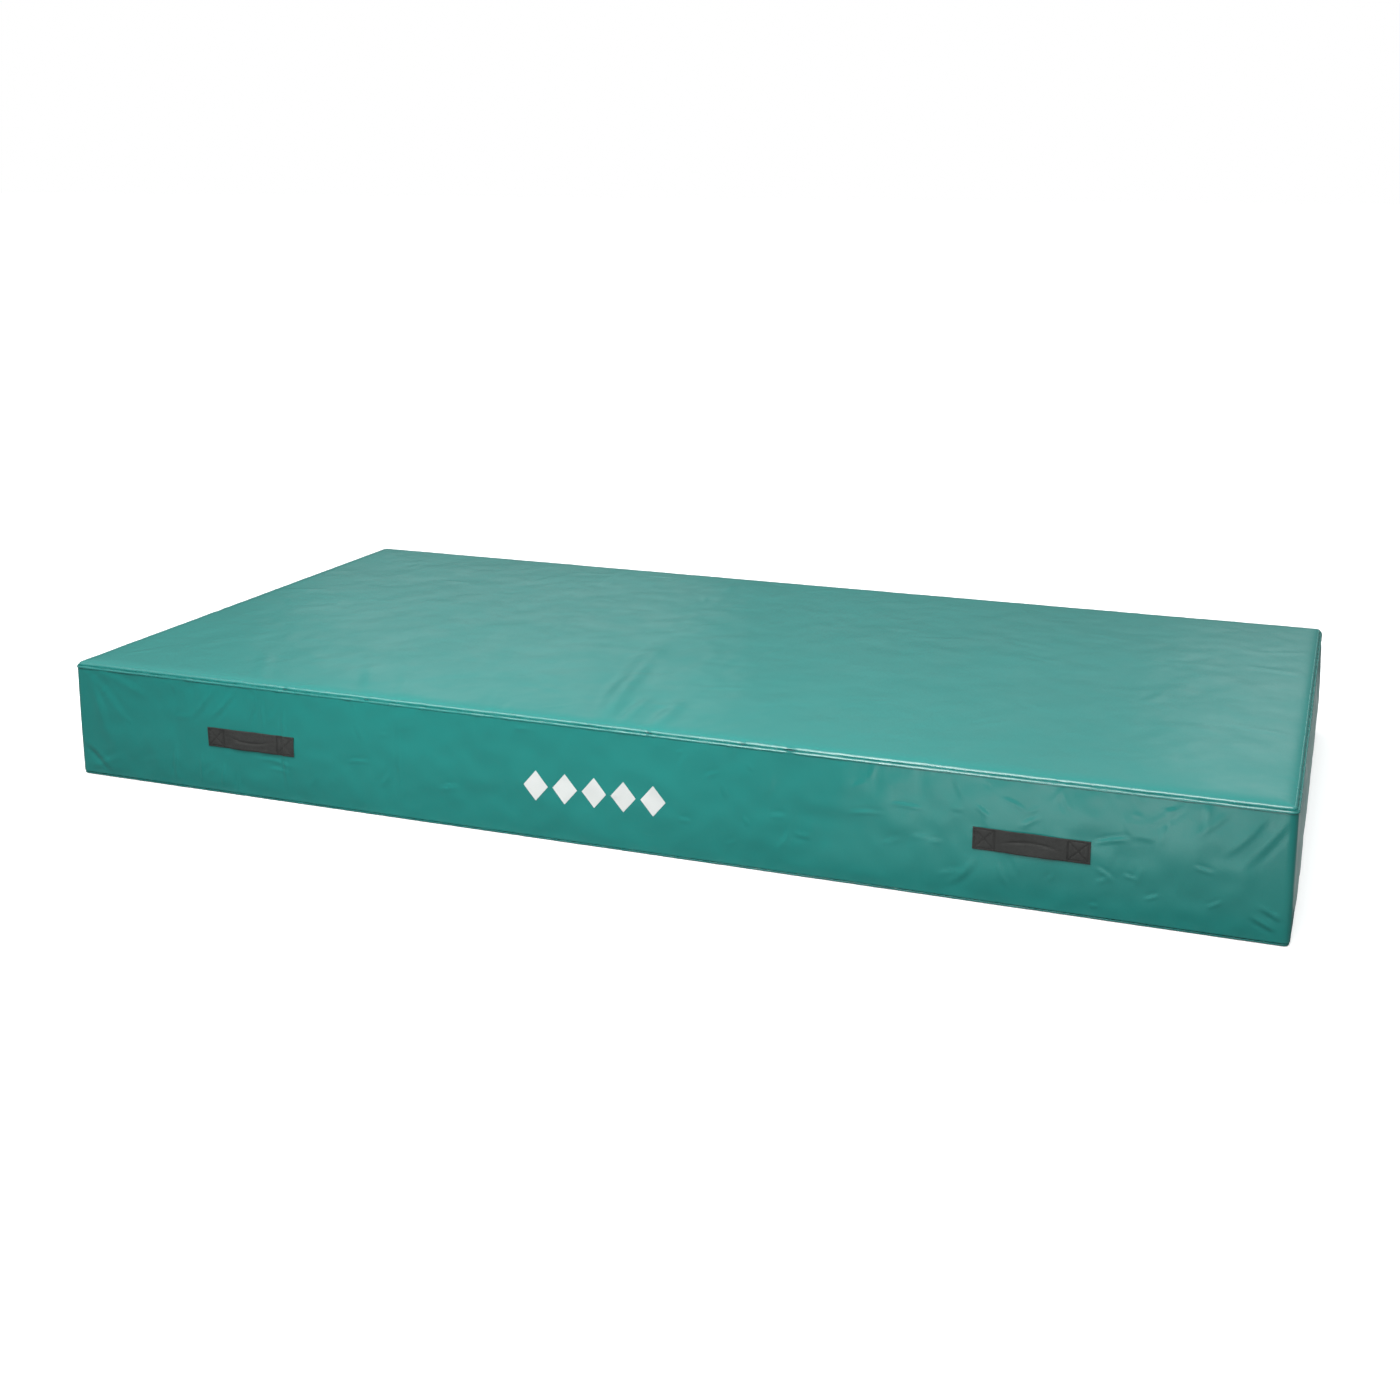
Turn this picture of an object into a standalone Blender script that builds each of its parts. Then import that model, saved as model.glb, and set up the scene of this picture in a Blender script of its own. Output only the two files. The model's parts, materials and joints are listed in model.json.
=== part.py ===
"""Crash landing mat: layered foam in a sewn, zipped cover with four webbing handles.

Metres, +Z up. The mat lies on the XY plane with its long side along X, and the origin is on
the floor under its middle. The long side at -Y is the front, and the zip is in the back.
"""
import math

import bmesh
import bpy
from mathutils import Matrix, Vector

# --- the mat ------------------------------------------------------------------------------
MAT_LENGTH = 3.000
MAT_WIDTH = 1.500
MAT_HEIGHT = 0.300
CORNER_RADIUS = 0.022        # upright corners, seen from above
CORNER_STEPS = 6

GAP = 0.0003                 # between any two pieces that touch
COVER = 0.0010               # coated fabric of the top and the sides
GRIP_BASE = 0.0014           # heavier coated fabric of the underside
SEAM = 0.008                 # rolled seams round the top and bottom edges

# --- the foam -----------------------------------------------------------------------------
FOAM_ROOM = 0.003            # between the foam's sides and the inside of the cover
BASE_FOAM = 0.050
TOP_FOAM = 0.030
FOAM_CHAMFER = 0.012         # top and bottom rims, which clears the seams

# --- the handles --------------------------------------------------------------------------
HANDLE_LENGTH = 0.250
HANDLE_WIDTH = 0.050
HANDLE_SEWN = 0.050          # length of each end that is sewn down
HANDLE_INSET = 0.530         # from the end of the mat to the middle of a handle
HANDLE_HEIGHT = 0.150        # from the floor to the middle of a handle
WEBBING = 0.0025
HANDLE_BOW = 0.008           # how far the loose middle stands off the cover
HANDLE_RAMP = 0.026
RAMP_STEPS = 5
BACKING_MARGIN = 0.018       # backing patch past the webbing, all round
BACKING = 0.0012

# --- the zip ------------------------------------------------------------------------------
ZIP_HEIGHT = 0.050           # from the floor to the middle of the zip
ZIP_MARGIN = 0.060           # from the start of a corner's curve to the zip's stop
ZIP_SLOT = 0.018             # between the two back panels
TAPE_WIDTH = 0.020
TAPE = 0.0008
TAPE_TAIL = 0.035            # tape past each stop, under the end patch
COIL_WIDTH = 0.0045
COIL = 0.0025
STOP_LENGTH = 0.005
STOP = 0.0030
END_PATCH_WIDTH = 0.044
END_PATCH = 0.0010

SLIDER_LENGTH = 0.026
SLIDER_WALL = 0.0014
SLIDER_ROOM = 0.0006         # round the coils, inside the slider
BRIDGE_TUNNEL = 0.0094
BRIDGE_THICKNESS = 0.0015
BRIDGE_WIDTH = 0.0036
BRIDGE_ROOT = 0.0006         # how deep the bridge's legs go into the slider
PULL_LENGTH = 0.044
PULL_WIDTH = 0.0105
PULL_THICKNESS = 0.0016
PULL_ROOM = 0.0006           # round the pull's cross bar, in the bridge
PULL_WINDOW_WIDTH = 0.0056

# --- the vents ----------------------------------------------------------------------------
VENT_COUNT = 3               # in each end
VENT_SPACING = 0.400
VENT_HEIGHT = 0.205
VENT_HOLE = 0.007            # radius of the hole in the end panel
VENT_BORE = 0.005            # radius of the eyelet's bore
VENT_FLANGE = 0.012          # radius of the eyelet's flange and of the washer
VENT_FLANGE_THICKNESS = 0.0010
VENT_BARREL = 0.0020         # how far the barrel stands past the inside of the panel
ROUND_STEPS = 20

# --- the centre mark ----------------------------------------------------------------------
MARK_COUNT = 5
MARK_WIDTH = 0.062
MARK_HEIGHT = 0.073
MARK_PITCH = 0.074
MARK_CENTRE_HEIGHT = 0.135
MARK_OFFSET = -0.039         # of the row's middle along the mat
MARK_FILM = 0.0004

# --- worked out ---------------------------------------------------------------------------
HALF_LENGTH = MAT_LENGTH / 2
HALF_WIDTH = MAT_WIDTH / 2
SIDE_BOTTOM = SEAM + GAP
SIDE_TOP = MAT_HEIGHT - SEAM - GAP
STRAIGHT_HALF = HALF_LENGTH - CORNER_RADIUS
STRAIGHT_HALF_WIDTH = HALF_WIDTH - CORNER_RADIUS
FOAM_INSET = COVER + FOAM_ROOM
FOAM_BOTTOM = GRIP_BASE + GAP
FOAM_TOP = MAT_HEIGHT - COVER - GAP
ZIP_HALF = STRAIGHT_HALF - ZIP_MARGIN - STOP_LENGTH - GAP
COIL_PAIR = 2 * COIL_WIDTH + GAP


def clear_scene():
    """Remove every object that the file opened with."""
    for old in list(bpy.data.objects):
        bpy.data.objects.remove(old, do_unlink=True)


def finish(name, colour, roughness, metallic=0.0):
    """A plain Principled material."""
    material = bpy.data.materials.new(name)
    material.use_nodes = True
    shader = material.node_tree.nodes["Principled BSDF"]
    shader.inputs["Base Color"].default_value = (*colour, 1.0)
    shader.inputs["Roughness"].default_value = roughness
    shader.inputs["Metallic"].default_value = metallic
    material.diffuse_color = (*colour, 1.0)
    return material


def empty(name, location, turn=0.0):
    """An empty that a sub-assembly hangs from, turned about Z."""
    holder = bpy.data.objects.new(name, None)
    holder.location = location
    holder.rotation_euler = (0.0, 0.0, turn)
    bpy.context.collection.objects.link(holder)
    return holder


def add_piece(name, bm, material, location=(0, 0, 0), parent=None):
    """Turn a bmesh into a named object with its faces pointing out."""
    bmesh.ops.recalc_face_normals(bm, faces=bm.faces)
    mesh = bpy.data.meshes.new(name)
    bm.to_mesh(mesh)
    bm.free()
    mesh.materials.append(material)
    piece = bpy.data.objects.new(name, mesh)
    piece.location = location
    piece.parent = parent
    bpy.context.collection.objects.link(piece)
    return piece


def add_cutter(name, bm, parent=None):
    """A guide object for a Boolean, which is no piece of the mat."""
    cutter = add_piece(name, bm, bpy.data.materials["cover"], parent=parent)
    cutter.hide_render = True
    cutter.display_type = 'WIRE'
    return cutter


def boolean(piece, cutter, operation):
    """Join a cutter to a piece, or take it out."""
    modifier = piece.modifiers.new(cutter.name, 'BOOLEAN')
    modifier.operation = operation
    modifier.solver = 'EXACT'
    modifier.object = cutter


def arc(centre, radius, start, end, steps):
    """Points along an arc in a plane, both ends included. Angles are in degrees."""
    points = []
    for step in range(steps + 1):
        angle = math.radians(start + (end - start) * step / steps)
        points.append((centre[0] + radius * math.cos(angle), centre[1] + radius * math.sin(angle)))
    return points


def rounded_outline(low, high, left_radius, right_radius):
    """A rectangle seen from above, with its own corner radius at each end of X."""
    points = []
    corners = (
        ((high[0], high[1]), right_radius, 0),
        ((low[0], high[1]), left_radius, 90),
        ((low[0], low[1]), left_radius, 180),
        ((high[0], low[1]), right_radius, 270),
    )
    for (x, y), radius, start in corners:
        if radius <= 0:
            points.append((x, y))
            continue
        inward_x = -1 if x == high[0] else 1
        inward_y = -1 if y == high[1] else 1
        centre = (x + inward_x * radius, y + inward_y * radius)
        points += arc(centre, radius, start, start + 90, CORNER_STEPS)
    return points


def prism(bm, outline, low, high, axis='Z'):
    """Extrude a closed outline from low to high along an axis."""
    place = {
        'Z': lambda a, b, c: (a, b, c),
        'Y': lambda a, b, c: (a, c, b),
        'X': lambda a, b, c: (c, a, b),
    }[axis]
    corners = [bm.verts.new(place(a, b, low)) for a, b in outline]
    face = bm.faces.new(corners)
    grown = bmesh.ops.extrude_face_region(bm, geom=[face])
    moved = [item for item in grown["geom"] if isinstance(item, bmesh.types.BMVert)]
    bmesh.ops.translate(bm, verts=moved, vec=place(0.0, 0.0, high - low))


def box(bm, low, high):
    """A box between two corners."""
    size = Vector(high) - Vector(low)
    middle = (Vector(high) + Vector(low)) / 2
    matrix = Matrix.Translation(middle) @ Matrix.Diagonal((*size, 1.0))
    bmesh.ops.create_cube(bm, size=1.0, matrix=matrix)


def turned_ring(bm, profile, centre):
    """Spin a closed profile of (radius, x) points a full turn about an X axis."""
    corners = [bm.verts.new((centre[0] + x, centre[1] + radius, centre[2])) for radius, x in profile]
    edges = [bm.edges.new((corners[i - 1], corners[i])) for i in range(len(corners))]
    spun = bmesh.ops.spin(bm, geom=corners + edges, cent=centre, axis=(1, 0, 0),
                          angle=math.tau, steps=ROUND_STEPS, use_merge=True)
    return spun


# --- foam ---------------------------------------------------------------------------------

def chamfer_rim(bm, height):
    """Chamfer the rim that lies at one height."""
    rim = [edge for edge in bm.edges if all(abs(v.co.z - height) < 1e-6 for v in edge.verts)]
    bmesh.ops.bevel(bm, geom=rim, offset=FOAM_CHAMFER, segments=1, affect='EDGES')


def foam_slab(name, bottom, top, material, rim=None):
    """A full-size foam layer, with one rim chamfered where it meets a seam."""
    half_x = HALF_LENGTH - FOAM_INSET
    half_y = HALF_WIDTH - FOAM_INSET
    radius = CORNER_RADIUS - FOAM_INSET
    bm = bmesh.new()
    prism(bm, rounded_outline((-half_x, -half_y), (half_x, half_y), radius, radius), bottom, top)
    if rim is not None:
        chamfer_rim(bm, rim)
    return add_piece(name, bm, material)


def foam_half(name, side, bottom, top, material):
    """One of the two soft blocks that are butted together at the middle of the mat."""
    half_x = HALF_LENGTH - FOAM_INSET
    half_y = HALF_WIDTH - FOAM_INSET
    radius = CORNER_RADIUS - FOAM_INSET
    low_x, high_x = (-half_x, -GAP / 2) if side < 0 else (GAP / 2, half_x)
    left, right = (radius, 0.0) if side < 0 else (0.0, radius)
    bm = bmesh.new()
    prism(bm, rounded_outline((low_x, -half_y), (high_x, half_y), left, right), bottom, top)
    return add_piece(name, bm, material)


def build_foam(soft, firm, chip):
    """Chip foam base, two soft core blocks and a firmer landing layer."""
    base_top = FOAM_BOTTOM + BASE_FOAM
    core_bottom = base_top + GAP
    core_top = FOAM_TOP - TOP_FOAM - GAP
    foam_slab("base_foam", FOAM_BOTTOM, base_top, chip, rim=FOAM_BOTTOM)
    foam_half("core_foam_left", -1, core_bottom, core_top, soft)
    foam_half("core_foam_right", 1, core_bottom, core_top, soft)
    foam_slab("top_foam", core_top + GAP, FOAM_TOP, firm, rim=FOAM_TOP)


# --- cover --------------------------------------------------------------------------------

def flat_panel(name, bottom, top, material):
    """The top or the underside of the cover, inside its ring of seam."""
    half_x = HALF_LENGTH - SEAM - GAP
    half_y = HALF_WIDTH - SEAM - GAP
    radius = CORNER_RADIUS - SEAM - GAP
    bm = bmesh.new()
    prism(bm, rounded_outline((-half_x, -half_y), (half_x, half_y), radius, radius), bottom, top)
    return add_piece(name, bm, material)


def long_panel(name, outer_y, bottom, top, material):
    """A straight side panel between two corners, with its outer face at outer_y."""
    inner_y = outer_y - math.copysign(COVER, outer_y)
    bm = bmesh.new()
    half_x = STRAIGHT_HALF - GAP
    box(bm, (-half_x, min(outer_y, inner_y), bottom), (half_x, max(outer_y, inner_y), top))
    return add_piece(name, bm, material)


def end_outline():
    """An end panel from above: straight across the end, and round both corners."""
    centre_x = STRAIGHT_HALF
    centre_y = STRAIGHT_HALF_WIDTH
    inner = CORNER_RADIUS - COVER
    outside = arc((centre_x, -centre_y), CORNER_RADIUS, -90, 0, CORNER_STEPS)
    outside += arc((centre_x, centre_y), CORNER_RADIUS, 0, 90, CORNER_STEPS)
    inside = arc((centre_x, centre_y), inner, 90, 0, CORNER_STEPS)
    inside += arc((centre_x, -centre_y), inner, 0, -90, CORNER_STEPS)
    return outside + inside


def vent_places():
    """Centres of the vents, as (y, z) on an end panel."""
    first = -VENT_SPACING * (VENT_COUNT - 1) / 2
    return [(first + VENT_SPACING * index, VENT_HEIGHT) for index in range(VENT_COUNT)]


def end_panel(name, holder, material):
    """An end panel with its vent holes, in a frame whose +X points out of the mat."""
    bm = bmesh.new()
    prism(bm, end_outline(), SIDE_BOTTOM, SIDE_TOP)
    panel = add_piece(name, bm, material, parent=holder)
    drills = bmesh.new()
    for y, z in vent_places():
        upright = Matrix.Translation((HALF_LENGTH, y, z)) @ Matrix.Rotation(math.pi / 2, 4, 'Y')
        bmesh.ops.create_cone(drills, cap_ends=True, segments=ROUND_STEPS, radius1=VENT_HOLE,
                              radius2=VENT_HOLE, depth=8 * COVER, matrix=upright)
    boolean(panel, add_cutter(name + "_drills", drills, parent=holder), 'DIFFERENCE')
    return panel


def seam_ring(name, height, material):
    """The rolled seam round the top or the bottom edge, as one closed curve."""
    inset = SEAM / 2
    outline = rounded_outline((inset - HALF_LENGTH, inset - HALF_WIDTH),
                              (HALF_LENGTH - inset, HALF_WIDTH - inset),
                              CORNER_RADIUS - inset, CORNER_RADIUS - inset)
    curve = bpy.data.curves.new(name, 'CURVE')
    curve.dimensions = '3D'
    curve.bevel_depth = SEAM / 2
    curve.bevel_resolution = 2
    path = curve.splines.new('POLY')
    path.points.add(len(outline) - 1)
    for point, (x, y) in zip(path.points, outline):
        point.co = (x, y, 0.0, 1.0)
    path.use_cyclic_u = True
    curve.materials.append(material)
    ring = bpy.data.objects.new(name, curve)
    ring.location = (0.0, 0.0, height)
    bpy.context.collection.objects.link(ring)
    return ring


def build_cover(cover, grip):
    """Top, underside, sides and seams."""
    flat_panel("top_panel", MAT_HEIGHT - COVER, MAT_HEIGHT, cover)
    flat_panel("bottom_panel", 0.0, GRIP_BASE, grip)
    long_panel("front_side_panel", -HALF_WIDTH, SIDE_BOTTOM, SIDE_TOP, cover)
    long_panel("back_upper_panel", HALF_WIDTH, ZIP_HEIGHT + ZIP_SLOT / 2, SIDE_TOP, cover)
    long_panel("back_lower_panel", HALF_WIDTH, SIDE_BOTTOM, ZIP_HEIGHT - ZIP_SLOT / 2, cover)
    seam_ring("top_seam", MAT_HEIGHT - SEAM / 2, cover)
    seam_ring("bottom_seam", SEAM / 2 + GAP, cover)


# --- ends and vents -----------------------------------------------------------------------

def build_end(side, turn, cover, metal):
    """An end panel with its eyelets outside and their washers inside."""
    holder = empty(side + "_end", (0, 0, 0), turn)
    end_panel(side + "_end_panel", holder, cover)
    inside = -COVER - GAP
    outside = GAP + VENT_FLANGE_THICKNESS
    barrel = VENT_HOLE - GAP
    barrel_end = inside - VENT_BARREL
    washer_end = inside - VENT_FLANGE_THICKNESS
    for index, (y, z) in enumerate(vent_places(), 1):
        centre = (HALF_LENGTH, y, z)
        eyelet = bmesh.new()
        turned_ring(eyelet, (
            (VENT_BORE, outside),
            (VENT_FLANGE, outside),
            (VENT_FLANGE, GAP),
            (barrel, GAP),
            (barrel, barrel_end),
            (VENT_BORE, barrel_end),
        ), centre)
        add_piece(f"{side}_vent_eyelet_{index}", eyelet, metal, parent=holder)
        washer = bmesh.new()
        turned_ring(washer, (
            (VENT_HOLE, inside),
            (VENT_FLANGE, inside),
            (VENT_FLANGE, washer_end),
            (VENT_HOLE, washer_end),
        ), centre)
        add_piece(f"{side}_vent_washer_{index}", washer, metal, parent=holder)


# --- handles ------------------------------------------------------------------------------

def ease(share):
    """Smooth 0 to 1."""
    return share * share * (3 - 2 * share)


def grip_line(half_span):
    """How far the loose webbing stands off, as (x, height) points from end to end."""
    rise = [(HANDLE_RAMP * step / RAMP_STEPS, HANDLE_BOW * ease(step / RAMP_STEPS))
            for step in range(RAMP_STEPS + 1)]
    left = [(x - half_span, height) for x, height in rise]
    right = [(half_span - x, height) for x, height in reversed(rise)]
    return left + right


def build_handle(name, location, turn, webbing, cover):
    """One webbing handle in a frame whose -Y points out of the mat."""
    holder = empty(name, location, turn)
    half_width = HANDLE_WIDTH / 2
    half_free = HANDLE_LENGTH / 2 - HANDLE_SEWN

    for number, side in enumerate((-1, 1), 1):
        near, far = sorted((side * half_free, side * HANDLE_LENGTH / 2))
        sewn = bmesh.new()
        box(sewn, (near, -GAP - WEBBING, -half_width), (far, -GAP, half_width))
        add_piece(f"{name}_end_{number}", sewn, webbing, parent=holder)

    line = grip_line(half_free - GAP)
    inner = [(x, -GAP - height) for x, height in line]
    outer = [(x, -GAP - WEBBING - height) for x, height in reversed(line)]
    grip = bmesh.new()
    prism(grip, inner + outer, -half_width, half_width)
    add_piece(name + "_grip", grip, webbing, parent=holder)

    backing = bmesh.new()
    reach_x = HANDLE_LENGTH / 2 + BACKING_MARGIN
    reach_z = half_width + BACKING_MARGIN
    box(backing, (-reach_x, COVER + GAP, -reach_z), (reach_x, COVER + GAP + BACKING, reach_z))
    add_piece(name + "_backing", backing, cover, parent=holder)


def build_handles(webbing, cover):
    """Two handles on each long side, at the same distance from the ends."""
    reach = HALF_LENGTH - HANDLE_INSET
    for side, sign, turn in (("front", -1, 0.0), ("back", 1, math.pi)):
        for hand, x in (("left", -reach), ("right", reach)):
            place = (x, sign * HALF_WIDTH, HANDLE_HEIGHT)
            build_handle(f"{side}_{hand}_handle", place, turn, webbing, cover)


# --- zip ----------------------------------------------------------------------------------

def zip_layers():
    """Heights in the zip's frame, whose +Y points out of the back panel's face."""
    tape_top = -COVER - GAP
    coil_bottom = tape_top + GAP
    coil_top = coil_bottom + COIL
    cap_inside = coil_top + SLIDER_ROOM
    cap_top = cap_inside + SLIDER_WALL
    pivot = cap_top + PULL_ROOM + PULL_THICKNESS / math.sqrt(2)
    return tape_top, coil_bottom, coil_top, cap_inside, cap_top, pivot


def build_zip_runs(holder, tape, coil, metal, cover):
    """Tapes, coils, stops and end patches, which stay on the mat."""
    tape_top, coil_bottom, _, _, _, _ = zip_layers()
    tape_half = ZIP_HALF + GAP + STOP_LENGTH + TAPE_TAIL
    for row, sign in (("upper", 1), ("lower", -1)):
        tape_mesh = bmesh.new()
        near, far = sorted((sign * GAP / 2, sign * (GAP / 2 + TAPE_WIDTH)))
        box(tape_mesh, (-tape_half, tape_top - TAPE, near), (tape_half, tape_top, far))
        add_piece(f"zip_{row}_tape", tape_mesh, tape, parent=holder)
        coil_mesh = bmesh.new()
        near, far = sorted((sign * GAP / 2, sign * COIL_PAIR / 2))
        box(coil_mesh, (-ZIP_HALF, coil_bottom, near), (ZIP_HALF, coil_bottom + COIL, far))
        add_piece(f"zip_{row}_coil", coil_mesh, coil, parent=holder)

    stop_start = ZIP_HALF + GAP
    stop_end = stop_start + STOP_LENGTH
    for hand, sign in (("left", -1), ("right", 1)):
        stop = bmesh.new()
        near, far = sorted((sign * stop_start, sign * stop_end))
        box(stop, (near, coil_bottom, -COIL_PAIR / 2), (far, coil_bottom + STOP, COIL_PAIR / 2))
        add_piece(f"zip_{hand}_stop", stop, metal, parent=holder)
        patch = bmesh.new()
        near, far = sorted((sign * (stop_end + GAP), sign * (STRAIGHT_HALF - GAP)))
        box(patch, (near, GAP, -END_PATCH_WIDTH / 2), (far, GAP + END_PATCH, END_PATCH_WIDTH / 2))
        add_piece(f"zip_{hand}_end_patch", patch, cover, parent=holder)


def bridge_outline(cap_top, pivot):
    """The bridge over the pull's cross bar, from the side: an arch along X."""
    ceiling = pivot + PULL_THICKNESS / math.sqrt(2) + PULL_ROOM
    half = BRIDGE_TUNNEL / 2
    foot = cap_top - BRIDGE_ROOT
    roof = ceiling + BRIDGE_THICKNESS
    outer = half + BRIDGE_THICKNESS
    slope = BRIDGE_THICKNESS / 2
    return [(-outer, foot), (-outer, roof - slope), (-outer + slope, roof), (outer - slope, roof),
            (outer, roof - slope), (outer, foot), (half, foot), (half, ceiling),
            (-half, ceiling), (-half, foot)]


def build_slider(holder, metal):
    """The slider that rides over the coils, and its pull on the bridge."""
    _, coil_bottom, _, cap_inside, cap_top, pivot = zip_layers()
    rest_x = ZIP_HALF - SLIDER_LENGTH / 2
    slider_holder = empty("zip_slider_origin", (rest_x, 0, 0))
    slider_holder.parent = holder

    room = COIL_PAIR / 2 + SLIDER_ROOM
    wall = room + SLIDER_WALL
    lip = coil_bottom + GAP
    profile = [(lip, -wall), (cap_top, -wall), (cap_top, wall), (lip, wall),
               (lip, room), (cap_inside, room), (cap_inside, -room), (lip, -room)]
    cap = bmesh.new()
    prism(cap, profile, -SLIDER_LENGTH / 2, SLIDER_LENGTH / 2, axis='X')
    slider = add_piece("zip_slider", cap, metal, parent=slider_holder)
    arch = bmesh.new()
    prism(arch, bridge_outline(cap_top, pivot), -BRIDGE_WIDTH / 2, BRIDGE_WIDTH / 2)
    boolean(slider, add_cutter("zip_bridge_shape", arch, parent=slider_holder), 'UNION')

    pivot_holder = empty("zip_pull_pivot", (0, pivot, 0))
    pivot_holder.parent = slider_holder
    bar = PULL_THICKNESS / 2
    bridge_reach = math.hypot(BRIDGE_TUNNEL / 2 + BRIDGE_THICKNESS, pivot - cap_top + BRIDGE_THICKNESS)
    window_end = bridge_reach + 2 * PULL_ROOM
    tab = bmesh.new()
    tip = PULL_LENGTH - PULL_WIDTH / 2
    tab_outline = [(bar, -PULL_WIDTH / 2), (bar, PULL_WIDTH / 2)]
    tab_outline += arc((-tip, 0), PULL_WIDTH / 2, 90, 270, 2 * CORNER_STEPS)
    prism(tab, tab_outline, -bar, bar, axis='Y')
    pull = add_piece("zip_pull", tab, metal, parent=pivot_holder)
    window = bmesh.new()
    box(window, (-window_end, -2 * bar, -PULL_WINDOW_WIDTH / 2), (-bar, 2 * bar, PULL_WINDOW_WIDTH / 2))
    boolean(pull, add_cutter("zip_pull_window", window, parent=pivot_holder), 'DIFFERENCE')


def build_zip(tape, coil, metal, cover):
    """The whole zip, between the two back panels."""
    holder = empty("zip", (0, HALF_WIDTH, ZIP_HEIGHT))
    build_zip_runs(holder, tape, coil, metal, cover)
    build_slider(holder, metal)


# --- centre mark --------------------------------------------------------------------------

def build_centre_mark(film):
    """A row of plain lozenges that marks the middle of the front."""
    holder = empty("centre_mark_origin", (MARK_OFFSET, -HALF_WIDTH, MARK_CENTRE_HEIGHT))
    for index in range(MARK_COUNT):
        x = MARK_PITCH * (index - (MARK_COUNT - 1) / 2)
        lozenge = [(x - MARK_WIDTH / 2, 0), (x, -MARK_HEIGHT / 2), (x + MARK_WIDTH / 2, 0),
                   (x, MARK_HEIGHT / 2)]
        bm = bmesh.new()
        prism(bm, lozenge, -GAP - MARK_FILM, -GAP, axis='Y')
        add_piece(f"centre_mark_{index + 1}", bm, film, parent=holder)


def main():
    """Build the mat."""
    clear_scene()
    cover = finish("cover", (0.013, 0.216, 0.195), 0.38)
    grip = finish("grip_base", (0.045, 0.050, 0.052), 0.85)
    webbing = finish("webbing", (0.040, 0.041, 0.040), 0.80)
    metal = finish("nickel", (0.62, 0.61, 0.58), 0.30, metallic=1.0)
    coil = finish("zip_coil", (0.025, 0.026, 0.026), 0.50)
    tape = finish("zip_tape", (0.030, 0.032, 0.033), 0.90)
    film = finish("white_film", (0.86, 0.87, 0.86), 0.45)
    soft = finish("soft_foam", (0.62, 0.60, 0.50), 0.95)
    firm = finish("firm_foam", (0.20, 0.24, 0.30), 0.95)
    chip = finish("chip_foam", (0.30, 0.28, 0.26), 0.95)

    build_foam(soft, firm, chip)
    build_cover(cover, grip)
    build_end("right", 0.0, cover, metal)
    build_end("left", math.pi, cover, metal)
    build_handles(webbing, cover)
    build_zip(tape, coil, metal, cover)
    build_centre_mark(film)


main()
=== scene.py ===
"""Looks of a crash landing mat: a padded, coated cover over foam, with rolled seams, webbing
handles, a zip, vents and a plain centre mark.

Metres, +Z up, in the frame of the CAD model. The cover's large shape comes from a cloth
simulation over the foam, and its seams, puckers and creases are worked into the result.
"""
from __future__ import annotations

import json
import logging
import math
from dataclasses import dataclass
from enum import Enum

import bmesh
import bpy
import numpy as np
from mathutils import Matrix, Vector

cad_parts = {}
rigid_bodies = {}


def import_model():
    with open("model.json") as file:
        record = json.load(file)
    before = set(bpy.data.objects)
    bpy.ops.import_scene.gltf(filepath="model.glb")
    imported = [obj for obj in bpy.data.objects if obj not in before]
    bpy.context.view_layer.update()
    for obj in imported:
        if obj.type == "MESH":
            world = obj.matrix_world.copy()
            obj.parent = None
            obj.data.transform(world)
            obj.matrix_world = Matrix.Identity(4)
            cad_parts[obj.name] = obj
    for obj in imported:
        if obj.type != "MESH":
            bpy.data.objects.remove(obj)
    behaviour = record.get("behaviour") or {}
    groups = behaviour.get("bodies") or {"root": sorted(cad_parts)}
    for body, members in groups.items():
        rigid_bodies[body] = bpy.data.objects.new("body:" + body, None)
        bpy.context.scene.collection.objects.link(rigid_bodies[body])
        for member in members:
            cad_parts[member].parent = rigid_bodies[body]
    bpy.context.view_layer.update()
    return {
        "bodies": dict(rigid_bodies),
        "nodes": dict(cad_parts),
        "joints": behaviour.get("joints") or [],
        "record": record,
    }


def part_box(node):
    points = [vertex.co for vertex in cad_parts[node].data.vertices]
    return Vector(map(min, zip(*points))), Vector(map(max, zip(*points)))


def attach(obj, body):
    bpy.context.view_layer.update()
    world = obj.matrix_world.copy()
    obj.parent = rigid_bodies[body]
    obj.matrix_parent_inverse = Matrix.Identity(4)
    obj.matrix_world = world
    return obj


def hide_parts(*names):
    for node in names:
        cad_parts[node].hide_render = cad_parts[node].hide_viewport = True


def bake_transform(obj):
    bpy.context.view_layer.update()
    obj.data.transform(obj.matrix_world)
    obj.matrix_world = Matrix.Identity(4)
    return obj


LOG = logging.getLogger("crash_mat")
MAT = "mat"
Array = np.ndarray
Colour = tuple[float, float, float]


# --- numbers over a plane -----------------------------------------------------------------

def ease(share: Array | float) -> Array | float:
    """Smooth 0 to 1, clamped at both ends.

    Args:
        share: how far along, from 0 to 1.

    Returns:
        The eased share.
    """
    share = np.clip(share, 0.0, 1.0)
    return share * share * (3.0 - 2.0 * share)


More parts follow.
